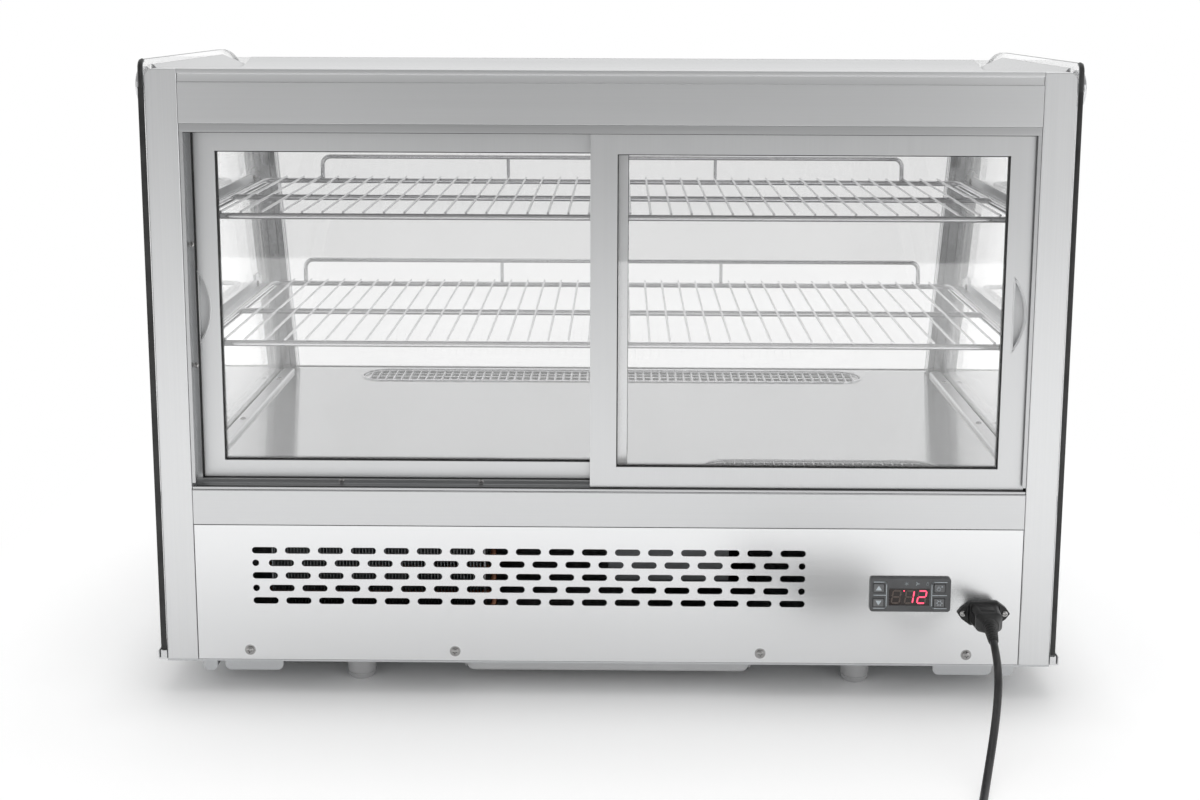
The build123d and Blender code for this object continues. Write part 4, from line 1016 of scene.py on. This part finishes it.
# ------------------------------------------------------------------ studio
def studio():
    me = bpy.data.meshes.new("studio_floor")
    s = 14.0
    me.from_pydata([(-s, -2.72, 0), (s, -2.72, 0), (s, s, 0), (-s, s, 0)], [], [(0, 1, 2, 3)])
    fl = bpy.data.objects.new("studio_floor", me)
    scene.collection.objects.link(fl)
    m = Mat("studio_floor", (.93, .93, .93), 0.0, .85)
    n = m.noise((1.5, 1.5, 1.5), 2, .5)
    m.vary_color(n, (.925, .925, .925), (.94, .94, .94))
    m.p.inputs["Emission Color"].default_value = (1, 1, 1, 1)
    # distance from the case's footprint: no glow under it, more with distance
    xyz = m.new("ShaderNodeSeparateXYZ")
    m.link(m.coord.outputs["Object"], xyz.inputs[0])
    side_of = []
    for axis, half in (("X", .43), ("Y", .265)):
        ab = m.new("ShaderNodeMath", operation="ABSOLUTE")
        m.link(xyz.outputs[axis], ab.inputs[0])
        sb = m.new("ShaderNodeMath", operation="SUBTRACT")
        sb.inputs[1].default_value = half
        m.link(ab.outputs[0], sb.inputs[0])
        side_of.append(sb)
    away = m.new("ShaderNodeMath", operation="SMOOTH_MAX")
    away.inputs[2].default_value = .08
    m.link(side_of[0].outputs[0], away.inputs[0]); m.link(side_of[1].outputs[0], away.inputs[1])
    glow = []
    for f0, f1, t0, t1 in ((-.06, .09, .0, .27), (.09, .6, .0, .28)):
        r = m.new("ShaderNodeMapRange")
        r.interpolation_type = "SMOOTHSTEP"
        r.inputs["From Min"].default_value = f0
        r.inputs["From Max"].default_value = f1
        r.inputs["To Min"].default_value = t0
        r.inputs["To Max"].default_value = t1
        m.link(away.outputs[0], r.inputs["Value"])
        glow.append(r)
    r = m.new("ShaderNodeMath", operation="ADD")
    m.link(glow[0].outputs["Result"], r.inputs[0]); m.link(glow[1].outputs["Result"], r.inputs[1])
    m.link(r.outputs[0], m.p.inputs["Emission Strength"])
    m.p.inputs["Specular IOR Level"].default_value = .15
    # the backdrop is plain white to the eye from a third of a metre away, and blends into the lit floor near the case
    white = m.new("ShaderNodeEmission")
    far = m.new("ShaderNodeMapRange"); far.interpolation_type = "SMOOTHSTEP"
    far.inputs["From Min"].default_value = .04
    far.inputs["From Max"].default_value = .32
    m.link(away.outputs[0], far.inputs["Value"])
    seen = m.new("ShaderNodeLightPath")
    f = m.new("ShaderNodeMath", operation="MULTIPLY")
    m.link(far.outputs["Result"], f.inputs[0]); m.link(seen.outputs["Is Camera Ray"], f.inputs[1])
    mix = m.new("ShaderNodeMixShader")
    m.link(f.outputs[0], mix.inputs[0])
    m.link(m.p.outputs[0], mix.inputs[1]); m.link(white.outputs[0], mix.inputs[2])
    out_node = [k for k in m.m.node_tree.nodes if k.type == "OUTPUT_MATERIAL"][0]
    m.link(mix.outputs[0], out_node.inputs["Surface"])
    me.materials.append(m.m)

    w = bpy.data.worlds.new("studio") if not scene.world else scene.world
    scene.world = w
    w.use_nodes = True
    nt = w.node_tree
    nt.nodes.clear()
    out = nt.nodes.new("ShaderNodeOutputWorld")
    bg = nt.nodes.new("ShaderNodeBackground")
    coord = nt.nodes.new("ShaderNodeTexCoord")
    sep = nt.nodes.new("ShaderNodeSeparateXYZ")
    ramp = nt.nodes.new("ShaderNodeValToRGB")
    nt.links.new(coord.outputs["Generated"], sep.inputs[0])
    mr = nt.nodes.new("ShaderNodeMapRange")
    mr.inputs["From Min"].default_value = -1
    mr.inputs["From Max"].default_value = 1
    nt.links.new(sep.outputs["Z"], mr.inputs["Value"])
    nt.links.new(mr.outputs["Result"], ramp.inputs["Fac"])
    # soft box: bright floor side and backdrop, a dimmer room behind the photographer
    e = ramp.color_ramp.elements
    e[0].position, e[0].color = .5, (1.0, 1.0, 1.0, 1)
    e[1].position, e[1].color = 1.0, (.72, .72, .72, 1)
    k = ramp.color_ramp.elements.new(.72); k.color = (.95, .95, .95, 1)
    side = nt.nodes.new("ShaderNodeMapRange")
    side.interpolation_type = "SMOOTHSTEP"
    side.inputs["From Min"].default_value = -.95
    side.inputs["From Max"].default_value = .25
    side.inputs["To Min"].default_value = .42
    side.inputs["To Max"].default_value = 1.0
    nt.links.new(sep.outputs["Y"], side.inputs["Value"])
    mul = nt.nodes.new("ShaderNodeVectorMath"); mul.operation = "SCALE"
    nt.links.new(ramp.outputs["Color"], mul.inputs[0])
    nt.links.new(side.outputs["Result"], mul.inputs["Scale"])
    path = nt.nodes.new("ShaderNodeLightPath")
    pick = nt.nodes.new("ShaderNodeMix"); pick.data_type = "RGBA"
    nt.links.new(path.outputs["Is Camera Ray"], pick.inputs["Factor"])
    nt.links.new(mul.outputs["Vector"], pick.inputs[6])
    pick.inputs[7].default_value = (1.0, 1.0, 1.0, 1)
    nt.links.new(pick.outputs[2], bg.inputs["Color"])
    bg.inputs["Strength"].default_value = 1.0
    nt.links.new(bg.outputs["Background"], out.inputs["Surface"])

    def area(name, loc, aim, size, power, size_y=None):
        ld = bpy.data.lights.new(name, "AREA")
        ld.energy = power
        ld.shape = "RECTANGLE"
        ld.size = size
        ld.size_y = size_y or size
        ob = bpy.data.objects.new(name, ld)
        scene.collection.objects.link(ob)
        ob.location = loc
        ob.rotation_euler = (Vector(aim) - Vector(loc)).to_track_quat("-Z", "Y").to_euler()
        return ob

    area("key_above", (.2, .3, 2.6), (0, .1, .3), 2.4, 16)
    area("front_fill", (2.0, -2.2, .9), (.2, 0, .35), 1.6, 9)
    area("front_fill_left", (-1.9, -2.2, .8), (0, 0, .25), 1.4, 3)
    scene.view_settings.view_transform = "Standard"
    scene.view_settings.look = "None"
    scene.cycles.transparent_max_bounces = 32


studio()
